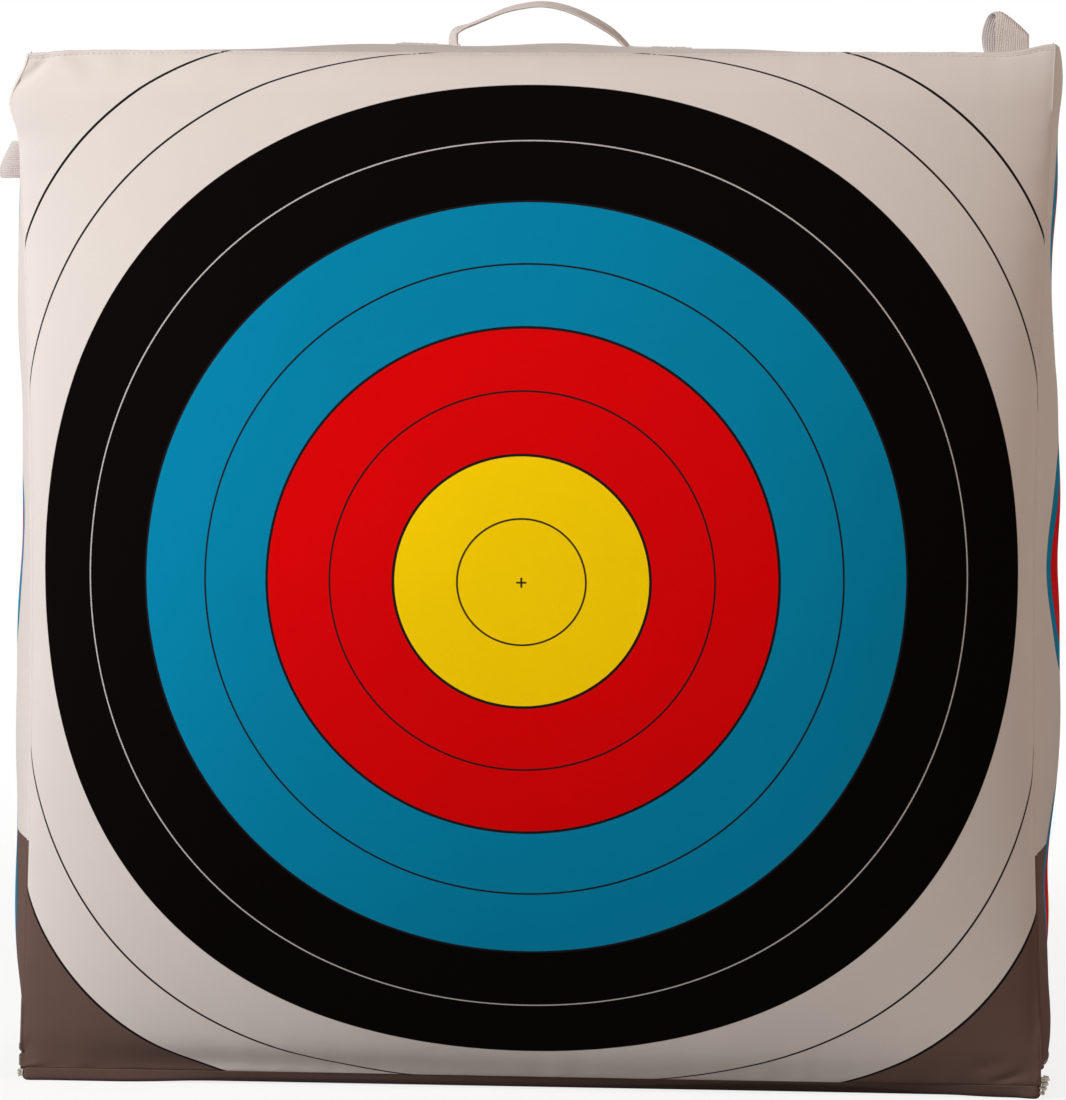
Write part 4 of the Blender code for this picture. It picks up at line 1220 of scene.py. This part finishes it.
def make_bottom_flap(material):
    """A shallow tray of cloth: flat underneath, and turned up to the zip and to the front seam."""
    turned_up = FLAP_EDGE * (math.pi / 2 - 1)
    rim = FLAP_RIM_Z - FLAP_EDGE
    width, depth = END_HALF_WIDTH + turned_up + rim, HALF_DEPTH + turned_up + rim
    x, y = np.meshgrid(graded(-width, width, 0.0004), graded(-depth, depth, 0.0004), indexing="ij")
    plan_x, plan_y, height, wall = round_plan(x, y, FLAP_EDGE)
    hinge = 1 - rise(plan_y, -HALF_DEPTH + 0.0015, -HALF_DEPTH + 0.0025)
    taller = (FLAP_HINGE_Z - FLAP_EDGE) / rim
    z = height + wall * (1 + (taller - 1) * hinge)
    lift = foot_lift(plan_x, plan_y) * (1 - z / FLAP_HINGE_Z)
    lean = foot_lean(plan_x, plan_y) * (1 - z / FLAP_HINGE_Z)
    points = np.stack([plan_x, plan_y + lift + lean, z + lift], -1)
    flap = add_sheet("bottom_flap_cloth", points, np.stack([x, y], -1), material, (0, 0, -1))
    declare_strip(flap, "bottom_flap", "flap")
    path, _ = resample(zip_line(-0.0001, 0.010, FLAP_RIM_Z - 0.0012), 0.002)
    places, along = evenly(path, STITCH_PITCH)
    up = np.broadcast_to(np.array([0.0, 0.0, 1.0]), along.shape)
    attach(lay_stitches("flap_rim_stitches", places, (along, np.cross(up, along), up)), "flap")


# Inner sack and fill


def cube_points(name, cells):
    """A cube from -1 to 1 with its faces cut into cells."""
    select_nothing()
    bpy.ops.mesh.primitive_cube_add(size=2.0)
    cube = bpy.context.object
    cube.name = name
    edit_all(cube)
    bpy.ops.mesh.subdivide(number_cuts=cells - 1)
    leave_edit()
    return cube, points_of(cube)


def stuffed_points(cube, near, far, inset, spare, floor):
    """Shapes a cube's points into a block inside the cover, between two depths (None for the
    bag's own faces).
    """
    a, v, c = cube[:, 0], cube[:, 1], cube[:, 2]
    z = floor + (TOP_Z - inset - floor) * (c + 1) / 2
    up = np.abs(share(z, BOTTOM_Z, TOP_Z))
    swell = np.clip((1 - np.abs(a) ** FACE_ACROSS) * (1 - up**FACE_UP), 0, 1) ** FACE_ROUNDING
    front = HALF_DEPTH - inset + (FACE_CROWN - spare + inset) * swell
    leans_in = foot_lift(a * END_HALF_WIDTH, -HALF_DEPTH) + foot_lean(a * END_HALF_WIDTH, -HALF_DEPTH)
    front = front - leans_in * (1 - rise(z, *SACK_FOOT))
    back = HALF_DEPTH - inset + (BACK_CROWN - spare + inset) * (1 - a**4) * body_swell(z)
    start = -front if near is None else near
    stop = back if far is None else far
    y = start + (stop - start) * (v + 1) / 2
    b = y / np.where(y < 0, front, back)
    side = (SIDE_CROWN - spare - SIDE_SPARE + inset) * (1 - b**2) * body_swell(z)
    x = a * (half_width(z) - inset + side)
    over = (top_height(x, y) - TOP_Z - spare + inset) * (1 - a**4) * (1 - b**4)
    z = z + np.maximum(0, c) * over + foot_lift(x, y) * (1 - rise(z, 0.0, 0.06))
    return settle(np.stack([x, y, z], -1))


def press_in(thing, amount, scale, seed, flat_faces=()):
    """Dents a closed shape unevenly along its normals, only inwards. Faces that look along an
    axis in flat_faces stay.
    """
    mesh = thing.data
    points = points_of(thing)
    normals = np.array([point.normal for point in mesh.vertices])
    lumps = ripple(points[:, 0] + points[:, 2], points[:, 1] + points[:, 2], scale, seed)
    lumps = 0.5 + 0.5 * np.clip(lumps, -1, 1)
    for axis in flat_faces:
        lumps = lumps * (1 - rise(np.abs(normals[:, axis]), 0.9, 0.99))
    points -= normals * (amount * lumps)[:, None]
    mesh.vertices.foreach_set("co", points.ravel())
    mesh.update()


def set_points(thing, points):
    thing.data.vertices.foreach_set("co", points.ravel())
    thing.data.update()
    repair_normals(thing)
    thing.data.polygons.foreach_set("use_smooth", [True] * len(thing.data.polygons))


def make_sack(material):
    """A thin woven bag round the fill, with a slot in its floor that the mouth flap closes."""
    sack, cube = cube_points("woven_inner_sack", SACK_CELLS)
    points = stuffed_points(cube, None, None, SACK_INSET, SACK_SPARE, SACK_FLOOR)
    low = cube[:, 2] < -0.999
    for axis, reach in ((0, MOUTH_LENGTH / 2), (1, MOUTH_WIDTH / 2)):
        for sign in (-1, 1):
            line = cube[:, axis][np.argmin(np.where(low, np.abs(points[:, axis] - sign * reach), 9.0))]
            points[low & (np.abs(cube[:, axis] - line) < 1e-4), axis] = sign * reach
    set_points(sack, points)
    press_in(sack, 0.0010, 0.05, 61, flat_faces=(2,))
    open_mouth(sack)
    thicken(sack, SACK_WALL)
    sack.data.materials.append(material)
    stand_in(sack, "inner_sack")
    reach_x, reach_y = MOUTH_LENGTH / 2 - GAP, MOUTH_WIDTH / 2 - GAP
    x, y = np.linspace(-reach_x, reach_x, 60), np.linspace(-reach_y, reach_y, 14)
    x, y = np.meshgrid(x, y, indexing="ij")
    points = np.stack([x, y, np.full_like(x, SACK_FLOOR)], -1)
    flap = add_sheet("sack_mouth_cloth", points, np.stack([x, y], -1), material, (0, 0, -1), SACK_WALL)
    declare_strip(flap, "sack_mouth_flap", "cover")


def open_mouth(sack):
    """Takes out the faces of the floor inside the mouth."""
    edit_all(sack)
    bpy.ops.mesh.select_mode(type="FACE")
    bpy.ops.mesh.select_all(action="DESELECT")
    leave_edit()
    for face in sack.data.polygons:
        x, y, z = face.center
        in_mouth = abs(x) < MOUTH_LENGTH / 2 - 0.0002 and abs(y) < MOUTH_WIDTH / 2 - 0.0002
        face.select = z < SACK_FLOOR + 0.0005 and in_mouth
    bpy.ops.object.mode_set(mode="EDIT")
    bpy.ops.mesh.delete(type="FACE")
    leave_edit()


def make_fill(material):
    """Three layers of packed fibre with flat faces against each other."""
    inset, spare = SACK_INSET + SACK_WALL + GAP, SACK_SPARE + SACK_WALL + GAP
    floor = SACK_FLOOR + SACK_WALL + GAP
    layers = (
        ("fill_front", None, -CORE_HALF - GAP, 71),
        ("fill_core", -CORE_HALF, CORE_HALF, 72),
        ("fill_back", CORE_HALF + GAP, None, 73),
    )
    for node, near, far, seed in layers:
        block, cube = cube_points(node + "_block", FILL_CELLS)
        set_points(block, stuffed_points(cube, near, far, inset, spare, floor))
        press_in(block, 0.0016, 0.03, seed, flat_faces=(1, 2))
        block.data.materials.append(material)
        stand_in(block, node)


# Materials


class Nodes:
    """Short calls for adding linked nodes to a material or a world, round its own shader."""

    def __init__(self, owner, shader="Principled BSDF"):
        owner.use_nodes = True
        self.tree = owner.node_tree
        self.shader = self.tree.nodes[shader]

    def link(self, source, socket):
        """Links a socket to a source, or sets it where the source is a number or a colour."""
        if isinstance(source, (int, float)):
            socket.default_value = source
        elif isinstance(source, tuple):
            socket.default_value = (*source, 1.0)
        else:
            self.tree.links.new(source, socket)

    def add(self, kind, inputs=None, **settings):
        """A new node, with its inputs linked or set by name or number."""
        node = self.tree.nodes.new(kind)
        for key, value in settings.items():
            setattr(node, key, value)
        for key, source in (inputs or {}).items():
            self.link(source, node.inputs[key])
        return node

    def set(self, socket, source):
        """Links or sets one of the shader's own sockets."""
        self.link(source, self.shader.inputs[socket])

    def math(self, operation, *values):
        node = self.add("ShaderNodeMath", dict(enumerate(values)), operation=operation)
        return node.outputs[0]

    def mix(self, amount, first, second, blend="MIX"):
        inputs = {0: amount, 6: first, 7: second}
        return self.add("ShaderNodeMix", inputs, data_type="RGBA", blend_type=blend).outputs[2]

    def coordinates(self, uv=True):
        if uv:
            return self.add("ShaderNodeUVMap", uv_map="flat").outputs[0]
        return self.add("ShaderNodeTexCoord").outputs["Object"]

    def split(self, vector):
        """The X and Y of a vector."""
        node = self.add("ShaderNodeSeparateXYZ", {0: vector})
        return node.outputs["X"], node.outputs["Y"]

    def length(self, vector):
        return self.add("ShaderNodeVectorMath", {0: vector}, operation="LENGTH").outputs["Value"]

    def radius(self, x, y):
        """Distance from the centre of a pattern, from its X and Y."""
        return self.length(self.add("ShaderNodeCombineXYZ", {0: x, 1: y}).outputs[0])

    def noise(self, vector, scale, detail=2.0, roughness=0.5):
        inputs = {"Vector": vector, "Scale": scale, "Detail": detail, "Roughness": roughness}
        return self.add("ShaderNodeTexNoise", inputs).outputs["Fac"]

    def wave(self, vector, pitch, direction, distortion=0.0, phase=0.0):
        """Smooth bands at a pitch in metres. Diagonal bands have it along each axis."""
        bands = 10 if direction == "DIAGONAL" else 20
        inputs = {"Vector": vector, "Scale": 2 * math.pi / (bands * pitch)}
        inputs.update({"Distortion": distortion, "Phase Offset": phase})
        return self.add("ShaderNodeTexWave", inputs, bands_direction=direction).outputs["Fac"]

    def step(self, value, edge, soft=0.0002):
        """0 below an edge and 1 above it."""
        inputs = {"Value": value, "From Min": edge - soft, "From Max": edge + soft}
        return self.add("ShaderNodeMapRange", inputs, clamp=True).outputs["Result"]

    def below(self, value, edge):
        return self.math("SUBTRACT", 1.0, self.step(value, edge))

    def within(self, value, low, high):
        """1 where the value lies between low and high."""
        return self.math("SUBTRACT", self.step(value, low), self.step(value, high))

    def bump(self, height, strength, distance):
        """Roughens the shader's surface by a height."""
        inputs = {"Height": height, "Strength": strength, "Distance": distance}
        self.set("Normal", self.add("ShaderNodeBump", inputs).outputs[0])

    def seen_directly(self):
        """1 for the camera and for mirrors, 0 for the light that falls on the bag."""
        seen = self.add("ShaderNodeLightPath")
        direct = self.math("MAXIMUM", seen.outputs["Is Camera Ray"], seen.outputs["Is Glossy Ray"])
        return self.math("MAXIMUM", direct, seen.outputs["Is Transmission Ray"])

    def mix_in(self, other, amount, output):
        """Mixes another shader into the own one by an amount, ahead of the output."""
        inputs = {0: amount, 1: self.shader.outputs[0], 2: other.outputs[0]}
        choose = self.add("ShaderNodeMixShader", inputs)
        self.link(choose.outputs[0], self.tree.nodes[output].inputs["Surface"])


def start_material(name, uv=True):
    """A material, the calls that add its nodes, and the coordinates that its pattern follows."""
    material = bpy.data.materials.new(name)
    nodes = Nodes(material)
    return material, nodes, nodes.coordinates(uv)


# Colours of the print, as linear light
GOLD = (0.98, 0.66, 0.002)
RED = (0.72, 0.002, 0.003)
BLUE = (0.002, 0.23, 0.41)
BLACK = (0.0030, 0.0022, 0.0020)
WHITE = (0.69, 0.63, 0.592)
GROUND = (0.134, 0.084, 0.070)
LINE = (0.012, 0.010, 0.012)
PALE_LINE = (0.55, 0.52, 0.50)

# Half widths of the printed lines
BORDER_LINE = 0.0009
ZONE_LINE = 0.0007
RING_LINE = 0.0006
SPOT_LINE = 0.0005
PALE_LINE_HALF = 0.0004
CROSS_REACH = 0.0032
CROSS_HALF = 0.0006

# Small spots on the sides and the back
SPOT_RADIUS = 0.080
SPOT_PITCH = 0.225
BACK_SPOT_RADIUS = 0.120
BACK_SPOT_PLACE = 0.185

# Threads
THREAD_PITCH = 0.0006
STRAND_PITCH = 0.0006
WEFT_PITCH = 0.0011

NYLON = (0.012, 0.011, 0.011)


def weave_height(nodes, vector):
    """Fine twill: threads across and up, and a faint diagonal."""
    across = nodes.wave(vector, THREAD_PITCH, "X")
    up = nodes.wave(vector, THREAD_PITCH, "Y")
    diagonal = nodes.wave(vector, 2 * THREAD_PITCH, "DIAGONAL", 0.4)
    height = nodes.math("MULTIPLY_ADD", across, 0.35, nodes.math("MULTIPLY", up, 0.45))
    return nodes.math("MULTIPLY_ADD", diagonal, 0.2, height)


def finish_cloth(nodes, colour, vector):
    """Weave, slubs and faint clouds over a printed colour, with hardly any gloss."""
    weave = weave_height(nodes, vector)
    slub = nodes.noise(vector, 900.0, 2.0, 0.7)
    cloud = nodes.noise(vector, 9.0, 3.0, 0.6)
    shade = nodes.math("MULTIPLY_ADD", weave, 0.10, 0.90)
    shade = nodes.math("MULTIPLY_ADD", slub, 0.12, nodes.math("SUBTRACT", shade, 0.03))
    shade = nodes.math("MULTIPLY_ADD", cloud, 0.08, nodes.math("SUBTRACT", shade, 0.04))
    grey = nodes.add("ShaderNodeCombineColor", {0: shade, 1: shade, 2: shade})
    nodes.set("Base Color", nodes.mix(1.0, colour, grey.outputs[0], "MULTIPLY"))
    nodes.set("Roughness", nodes.math("MULTIPLY_ADD", slub, 0.2, 0.62))
    nodes.set("Specular IOR Level", 0.008)
    nodes.bump(nodes.math("MULTIPLY_ADD", slub, 0.5, weave), 0.35, 0.0002)


def rings(nodes, radius, ground, zones, lines):
    """Colours by distance from the centre: zones are (outer radius, colour) and lines are
    (radius, half width, colour).
    """
    colour = ground
    for outer, paint in zones:
        colour = nodes.mix(nodes.step(radius, outer), paint, colour)
    for place, half, paint in lines:
        colour = nodes.mix(nodes.within(radius, place - half, place + half), colour, paint)
    return colour


def white_on_ground(nodes, up):
    """White cloth with a grey ground below."""
    return nodes.mix(nodes.step(up, GROUND_Z - RING_Z), GROUND, WHITE)


def face_print():
    """The ten-ring face on white, with a cross in its middle and a grey ground below."""
    material, nodes, vector = start_material("printed_ring_face")
    x, y = nodes.split(vector)
    zones = [(OUTER_RING, WHITE), (8 * RING, BLACK), (6 * RING, BLUE), (4 * RING, RED), (2 * RING, GOLD)]
    lines = [(OUTER_RING, BORDER_LINE, LINE)]
    lines += [(count * RING, ZONE_LINE, LINE) for count in (9, 6)]
    lines += [(count * RING, BORDER_LINE, LINE) for count in (4, 2)]
    lines += [(count * RING, RING_LINE, LINE) for count in (5, 3, 1)]
    lines += [(7 * RING, PALE_LINE_HALF, PALE_LINE)]
    colour = rings(nodes, nodes.length(vector), white_on_ground(nodes, y), zones, lines)
    across, up = nodes.math("ABSOLUTE", x), nodes.math("ABSOLUTE", y)
    for first, second in ((across, up), (up, across)):
        arm = nodes.math("MULTIPLY", nodes.below(first, CROSS_REACH), nodes.below(second, CROSS_HALF))
        colour = nodes.mix(arm, colour, LINE)
    finish_cloth(nodes, colour, vector)
    return material


def side_radius(nodes, x, y):
    """Distance from the nearest of the spots in a column."""
    turns = nodes.math("ROUND", nodes.math("DIVIDE", y, SPOT_PITCH))
    local = nodes.math("SUBTRACT", y, nodes.math("MULTIPLY", turns, SPOT_PITCH))
    return nodes.radius(x, local)


def back_radius(nodes, x, y):
    """Distance from the nearest of five spots, one in the middle and four round it."""
    corner_x = nodes.math("SUBTRACT", nodes.math("ABSOLUTE", x), BACK_SPOT_PLACE)
    corner_y = nodes.math("SUBTRACT", nodes.math("ABSOLUTE", y), BACK_SPOT_PLACE)
    return nodes.math("MINIMUM", nodes.radius(x, y), nodes.radius(corner_x, corner_y))


def spot_print(name, radius_from, size):
    """Small faces of blue, red and gold on white, with a grey ground below. radius_from gives the
    distance from a spot's centre and size is its outer radius.
    """
    material, nodes, vector = start_material(name)
    x, y = nodes.split(vector)
    zones = [(size, BLUE), (0.8 * size, RED), (0.4 * size, GOLD)]
    lines = [(part * size, SPOT_LINE, LINE) for part in (0.6, 0.2)]
    lines += [(part * size, ZONE_LINE, LINE) for part in (0.8, 0.4, 1.0)]
    colour = rings(nodes, radius_from(nodes, x, y), white_on_ground(nodes, y), zones, lines)
    finish_cloth(nodes, colour, vector)
    return material


def plain_cloth(name, colour):
    material, nodes, vector = start_material(name)
    darker = tuple(0.93 * value for value in colour)
    finish_cloth(nodes, nodes.mix(nodes.noise(vector, 14.0, 3.0), darker, colour), vector)
    return material


def webbing_finish():
    """Ribbed webbing: cords along it and threads across them, in warm white."""
    material, nodes, vector = start_material("ribbed_webbing")
    ribs = nodes.wave(vector, RIB_PITCH, "X", phase=math.pi)
    threads = nodes.wave(vector, WEFT_PITCH, "Y", 0.6)
    fuzz = nodes.noise(vector, 2600.0, 2.0, 0.7)
    height = nodes.math("MULTIPLY_ADD", threads, 0.6, nodes.math("MULTIPLY", ribs, 0.5))
    shade = nodes.math("MULTIPLY_ADD", height, 0.35, nodes.math("MULTIPLY", fuzz, 0.4))
    nodes.set("Base Color", nodes.mix(shade, (0.44, 0.38, 0.35), (0.86, 0.80, 0.77)))
    nodes.set("Roughness", nodes.math("MULTIPLY_ADD", fuzz, 0.2, 0.6))
    nodes.set("Sheen Weight", 0.2)
    nodes.bump(nodes.math("ADD", height, fuzz), 0.7, 0.0003)
    return material


def thread_finish():
    material, nodes, vector = start_material("sewing_thread", uv=False)
    strands = nodes.wave(vector, STRAND_PITCH, "DIAGONAL", 1.0)
    nodes.set("Base Color", nodes.mix(strands, (0.50, 0.45, 0.42), (0.74, 0.69, 0.66)))
    nodes.set("Roughness", nodes.math("MULTIPLY_ADD", strands, 0.2, 0.4))
    return material


def woven_finish(name, dark, light, across, up, bump_height, rough, uv=True):
    """A plain weave with threads or tapes at two pitches."""
    material, nodes, vector = start_material(name, uv)
    first = nodes.wave(vector, across, "X", 0.4)
    second = nodes.wave(vector, up, "Y" if uv else "Z", 0.4)
    height = nodes.math("MULTIPLY", nodes.math("ADD", first, second), 0.5)
    fuzz = nodes.noise(vector, 1400.0, 2.0, 0.7)
    cloud = nodes.noise(vector, 20.0, 3.0)
    shade = nodes.math("MULTIPLY_ADD", height, 0.5, nodes.math("MULTIPLY", fuzz, 0.3))
    shade = nodes.math("MULTIPLY_ADD", cloud, 0.3, shade)
    nodes.set("Base Color", nodes.mix(shade, dark, light))
    nodes.set("Roughness", nodes.math("MULTIPLY_ADD", fuzz, 0.2, rough))
    nodes.bump(nodes.math("MULTIPLY_ADD", fuzz, 0.3, height), 0.6, bump_height)
    return material


def nylon_finish():
    """Moulded nylon with slight dust."""
    material, nodes, vector = start_material("nylon_teeth", uv=False)
    dust = nodes.noise(vector, 160.0, 4.0, 0.6)
    pale = tuple(2.2 * value + 0.01 for value in NYLON)
    nodes.set("Base Color", nodes.mix(dust, NYLON, pale))
    nodes.set("Roughness", nodes.math("MULTIPLY_ADD", dust, 0.3, 0.35))
    return material


def worn_and_highlit_metal():
    """Dark enamelled casting with pale bare metal along its pointed edges, partly rubbed wear and partly a
    painted edge highlight.
    """
    material, nodes, vector = start_material("dark_enamelled_metal", uv=False)
    wear = nodes.noise(vector, 700.0, 4.0, 0.65)
    edges = nodes.add("ShaderNodeNewGeometry")
    # Pale metal on pointed edges: partly rubbed wear, partly a painted highlight along the edges
    rubbed_and_highlit = nodes.step(edges.outputs["Pointiness"], 0.62, 0.05)
    rubbed_and_highlit = nodes.math("MULTIPLY", rubbed_and_highlit, nodes.step(wear, 0.50, 0.10))
    nodes.set("Base Color", nodes.mix(rubbed_and_highlit, (0.014, 0.011, 0.008), (0.26, 0.21, 0.14)))
    nodes.set("Metallic", rubbed_and_highlit)
    nodes.set("Roughness", nodes.math("MULTIPLY_ADD", wear, 0.35, 0.30))
    nodes.set("Specular IOR Level", 0.2)
    nodes.bump(wear, 0.25, 0.0001)
    return material


def fibre_finish():
    """Packed textile waste: short fibres of several pale colours."""
    material, nodes, vector = start_material("packed_fibre", uv=False)
    shreds = nodes.add("ShaderNodeTexVoronoi", {"Vector": vector, "Scale": 120.0})
    fuzz = nodes.noise(vector, 500.0, 4.0, 0.7)
    grey = nodes.mix(nodes.math("MULTIPLY", fuzz, 0.8), (0.30, 0.27, 0.24), (0.72, 0.68, 0.62))
    nodes.set("Base Color", nodes.mix(0.25, grey, shreds.outputs["Color"], "SOFT_LIGHT"))
    nodes.set("Roughness", nodes.math("MULTIPLY_ADD", fuzz, 0.1, 0.85))
    nodes.bump(nodes.math("ADD", fuzz, shreds.outputs["Distance"]), 0.8, 0.002)
    return material


# Woven finishes: dark and light colour, pitch across and up, bump and roughness
WOVEN = {
    "binding_tape": ((0.38, 0.34, 0.31), (0.62, 0.57, 0.53), 0.0012, 0.0008, 0.0002, 0.7),
    "backing_cloth": ((0.30, 0.27, 0.25), (0.48, 0.44, 0.41), 0.0008, 0.0008, 0.0002, 0.7),
    "zip_tape": ((0.36, 0.31, 0.25), (0.66, 0.60, 0.51), 0.0011, 0.0007, 0.0002, 0.65),
    "woven_sacking": ((0.44, 0.42, 0.37), (0.72, 0.70, 0.65), 0.0026, 0.0026, 0.0003, 0.4),
}

MATERIALS = {}


def make_materials():
    MATERIALS["face"] = face_print()
    MATERIALS["side"] = spot_print("printed_side_spots", side_radius, SPOT_RADIUS)
    MATERIALS["back"] = spot_print("printed_back_spots", back_radius, BACK_SPOT_RADIUS)
    MATERIALS["top"] = plain_cloth("plain_white_cloth", WHITE)
    MATERIALS["flap"] = plain_cloth("plain_grey_cloth", GROUND)
    MATERIALS["webbing"] = webbing_finish()
    MATERIALS["thread"] = thread_finish()
    for name, finish in WOVEN.items():
        MATERIALS[name] = woven_finish(name, *finish, uv=name != "woven_sacking")
    MATERIALS["coil"] = nylon_finish()
    MATERIALS["metal"] = worn_and_highlit_metal()
    MATERIALS["fibre"] = fibre_finish()


# Camera, lights and floor

CAMERA_TARGET_Y = -0.188
CAMERA_RANGE = 2.8
CAMERA_AZIMUTH = 4.13
CAMERA_HEIGHT = 5.5
CAMERA_ROLL = 0.25
CAMERA_YAW = 0.144
CAMERA_PITCH = 0.414
FOCAL_PIXELS = 4499.0
IMAGE_HEIGHT = 1100
SENSOR = 36.0
FLOOR_SIZE = 12.0
FLOOR_WHITE = 0.80
FLOOR_PALE = (0.90, 0.90, 0.90)
FADE_START = 0.45
FADE_END = 1.60
PLAIN_LIGHT = (1.0, 1.0, 1.0)
WARM_LIGHT = (1.0, 0.80, 0.68)
WORLD_STRENGTH = 0.10

# Name, place, target, size, power and colour
LAMPS = (
    ("key_lamp", (-2.02, -1.62, 1.58), (0, -0.1, 0.35), 1.1, 78.5, PLAIN_LIGHT),
    ("fill_lamp", (2.2, -1.3, 1.7), (0, -0.1, 0.35), 1.2, 26.0, WARM_LIGHT),
    ("rear_lamp", (0.5, 2.8, 1.2), (0, 0.1, 0.35), 1.4, 40.0, PLAIN_LIGHT),
)


def right_and_up(forward):
    """The ways to the right and up for somebody who looks forward."""
    right = forward.cross(Vector((0, 0, 1))).normalized()
    return right, right.cross(forward)


def make_camera():
    azimuth, height = math.radians(CAMERA_AZIMUTH), math.radians(CAMERA_HEIGHT)
    flat = math.cos(height)
    back = Vector((math.sin(azimuth) * flat, -math.cos(azimuth) * flat, math.sin(height)))
    place = Vector((0, CAMERA_TARGET_Y, RING_Z)) + CAMERA_RANGE * back
    right, up = right_and_up(-back)
    yaw, pitch = math.radians(CAMERA_YAW), math.radians(CAMERA_PITCH)
    aim = -back + math.tan(yaw) * right + math.tan(pitch) * up
    aim.normalize()
    right, up = right_and_up(aim)
    roll = math.radians(CAMERA_ROLL)
    side = right * math.cos(roll) + up * math.sin(roll)
    top = up * math.cos(roll) - right * math.sin(roll)
    data = bpy.data.cameras.new("camera")
    data.sensor_width = SENSOR
    data.lens = FOCAL_PIXELS / IMAGE_HEIGHT * SENSOR
    data.clip_start = 0.05
    camera = add_object("camera", data)
    turn = Matrix((side, top, -aim)).transposed().to_4x4()
    camera.matrix_world = Matrix.Translation(place) @ turn
    bpy.context.scene.camera = camera


def make_lamp(name, place, target, size, power, colour):
    data = bpy.data.lights.new(name, "AREA")
    data.shape = "DISK"
    data.size = size
    data.energy = power
    data.color = colour
    lamp = add_object(name, data)
    lamp.location = place
    lamp.rotation_euler = (Vector(target) - Vector(place)).to_track_quat("-Z", "Y").to_euler()


def make_studio():
    """Three lamps, and a world that is faint on the bag and white where it is seen."""
    for lamp in LAMPS:
        make_lamp(*lamp)
    world = bpy.data.worlds.new("studio")
    bpy.context.scene.world = world
    nodes = Nodes(world, "Background")
    nodes.set("Color", WARM_LIGHT)
    nodes.set("Strength", WORLD_STRENGTH)
    white = nodes.add("ShaderNodeBackground", {"Color": PLAIN_LIGHT, "Strength": 1.0})
    nodes.mix_in(white, nodes.seen_directly(), "World Output")


def make_floor():
    """A pale floor that fades to white away from the bag, where its shadow has ended."""
    select_nothing()
    bpy.ops.mesh.primitive_plane_add(size=FLOOR_SIZE, location=(0, 0, 0))
    floor = bpy.context.object
    floor.name = "studio_floor"
    material, nodes, vector = start_material("pale_floor", uv=False)
    direct = nodes.seen_directly()
    grey = nodes.mix(nodes.noise(vector, 3.0, 2.0), (0.30, 0.30, 0.30), (0.34, 0.34, 0.34))
    nodes.set("Base Color", nodes.mix(direct, grey, FLOOR_PALE))
    nodes.set("Roughness", 0.9)
    inputs = {"Value": nodes.length(vector), "From Min": FADE_START, "From Max": FADE_END}
    inputs.update({"To Min": FLOOR_WHITE, "To Max": 1.0})
    far = nodes.add("ShaderNodeMapRange", inputs, clamp=True, interpolation_type="SMOOTHSTEP")
    amount = nodes.math("MULTIPLY", direct, far.outputs["Result"])
    nodes.mix_in(nodes.add("ShaderNodeEmission"), amount, "Material Output")
    floor.data.materials.append(material)


def main():
    make_camera()
    make_studio()
    make_floor()
    bpy.context.scene.view_settings.view_transform = "Standard"
    make_materials()
    make_front_panel(MATERIALS["face"])
    make_side_panel("left", -1, BULGES_LEFT, 0.0, MATERIALS["side"], 21)
    make_side_panel("right", 1, BULGES_RIGHT, CORNER_PUFF, MATERIALS["side"], 31)
    make_back_panel(MATERIALS["back"])
    make_top_panel(MATERIALS["top"])
    make_handle(MATERIALS["webbing"])
    make_handle_tails(MATERIALS["webbing"])
    make_handle_patches(MATERIALS["backing_cloth"])
    make_hanging_loops(MATERIALS["webbing"])
    make_loop_tails(MATERIALS["webbing"])
    bottom = BOTTOM_Z + BINDING_FAR + MITRE
    make_binding("front_seam_tape", "front_seam_binding", -1, bottom, True, MATERIALS["binding_tape"])
    make_binding("back_seam_tape", "back_seam_binding", 1, BAND_Z + GAP, False, MATERIALS["binding_tape"])
    make_bottom_flap(MATERIALS["flap"])
    make_zip(MATERIALS["zip_tape"], MATERIALS["coil"])
    make_zip_stops(MATERIALS["metal"])
    make_slider(MATERIALS["metal"])
    make_pull(MATERIALS["metal"])
    make_tape_ends(MATERIALS["zip_tape"])
    make_sack(MATERIALS["woven_sacking"])
    make_fill(MATERIALS["fibre"])


main()
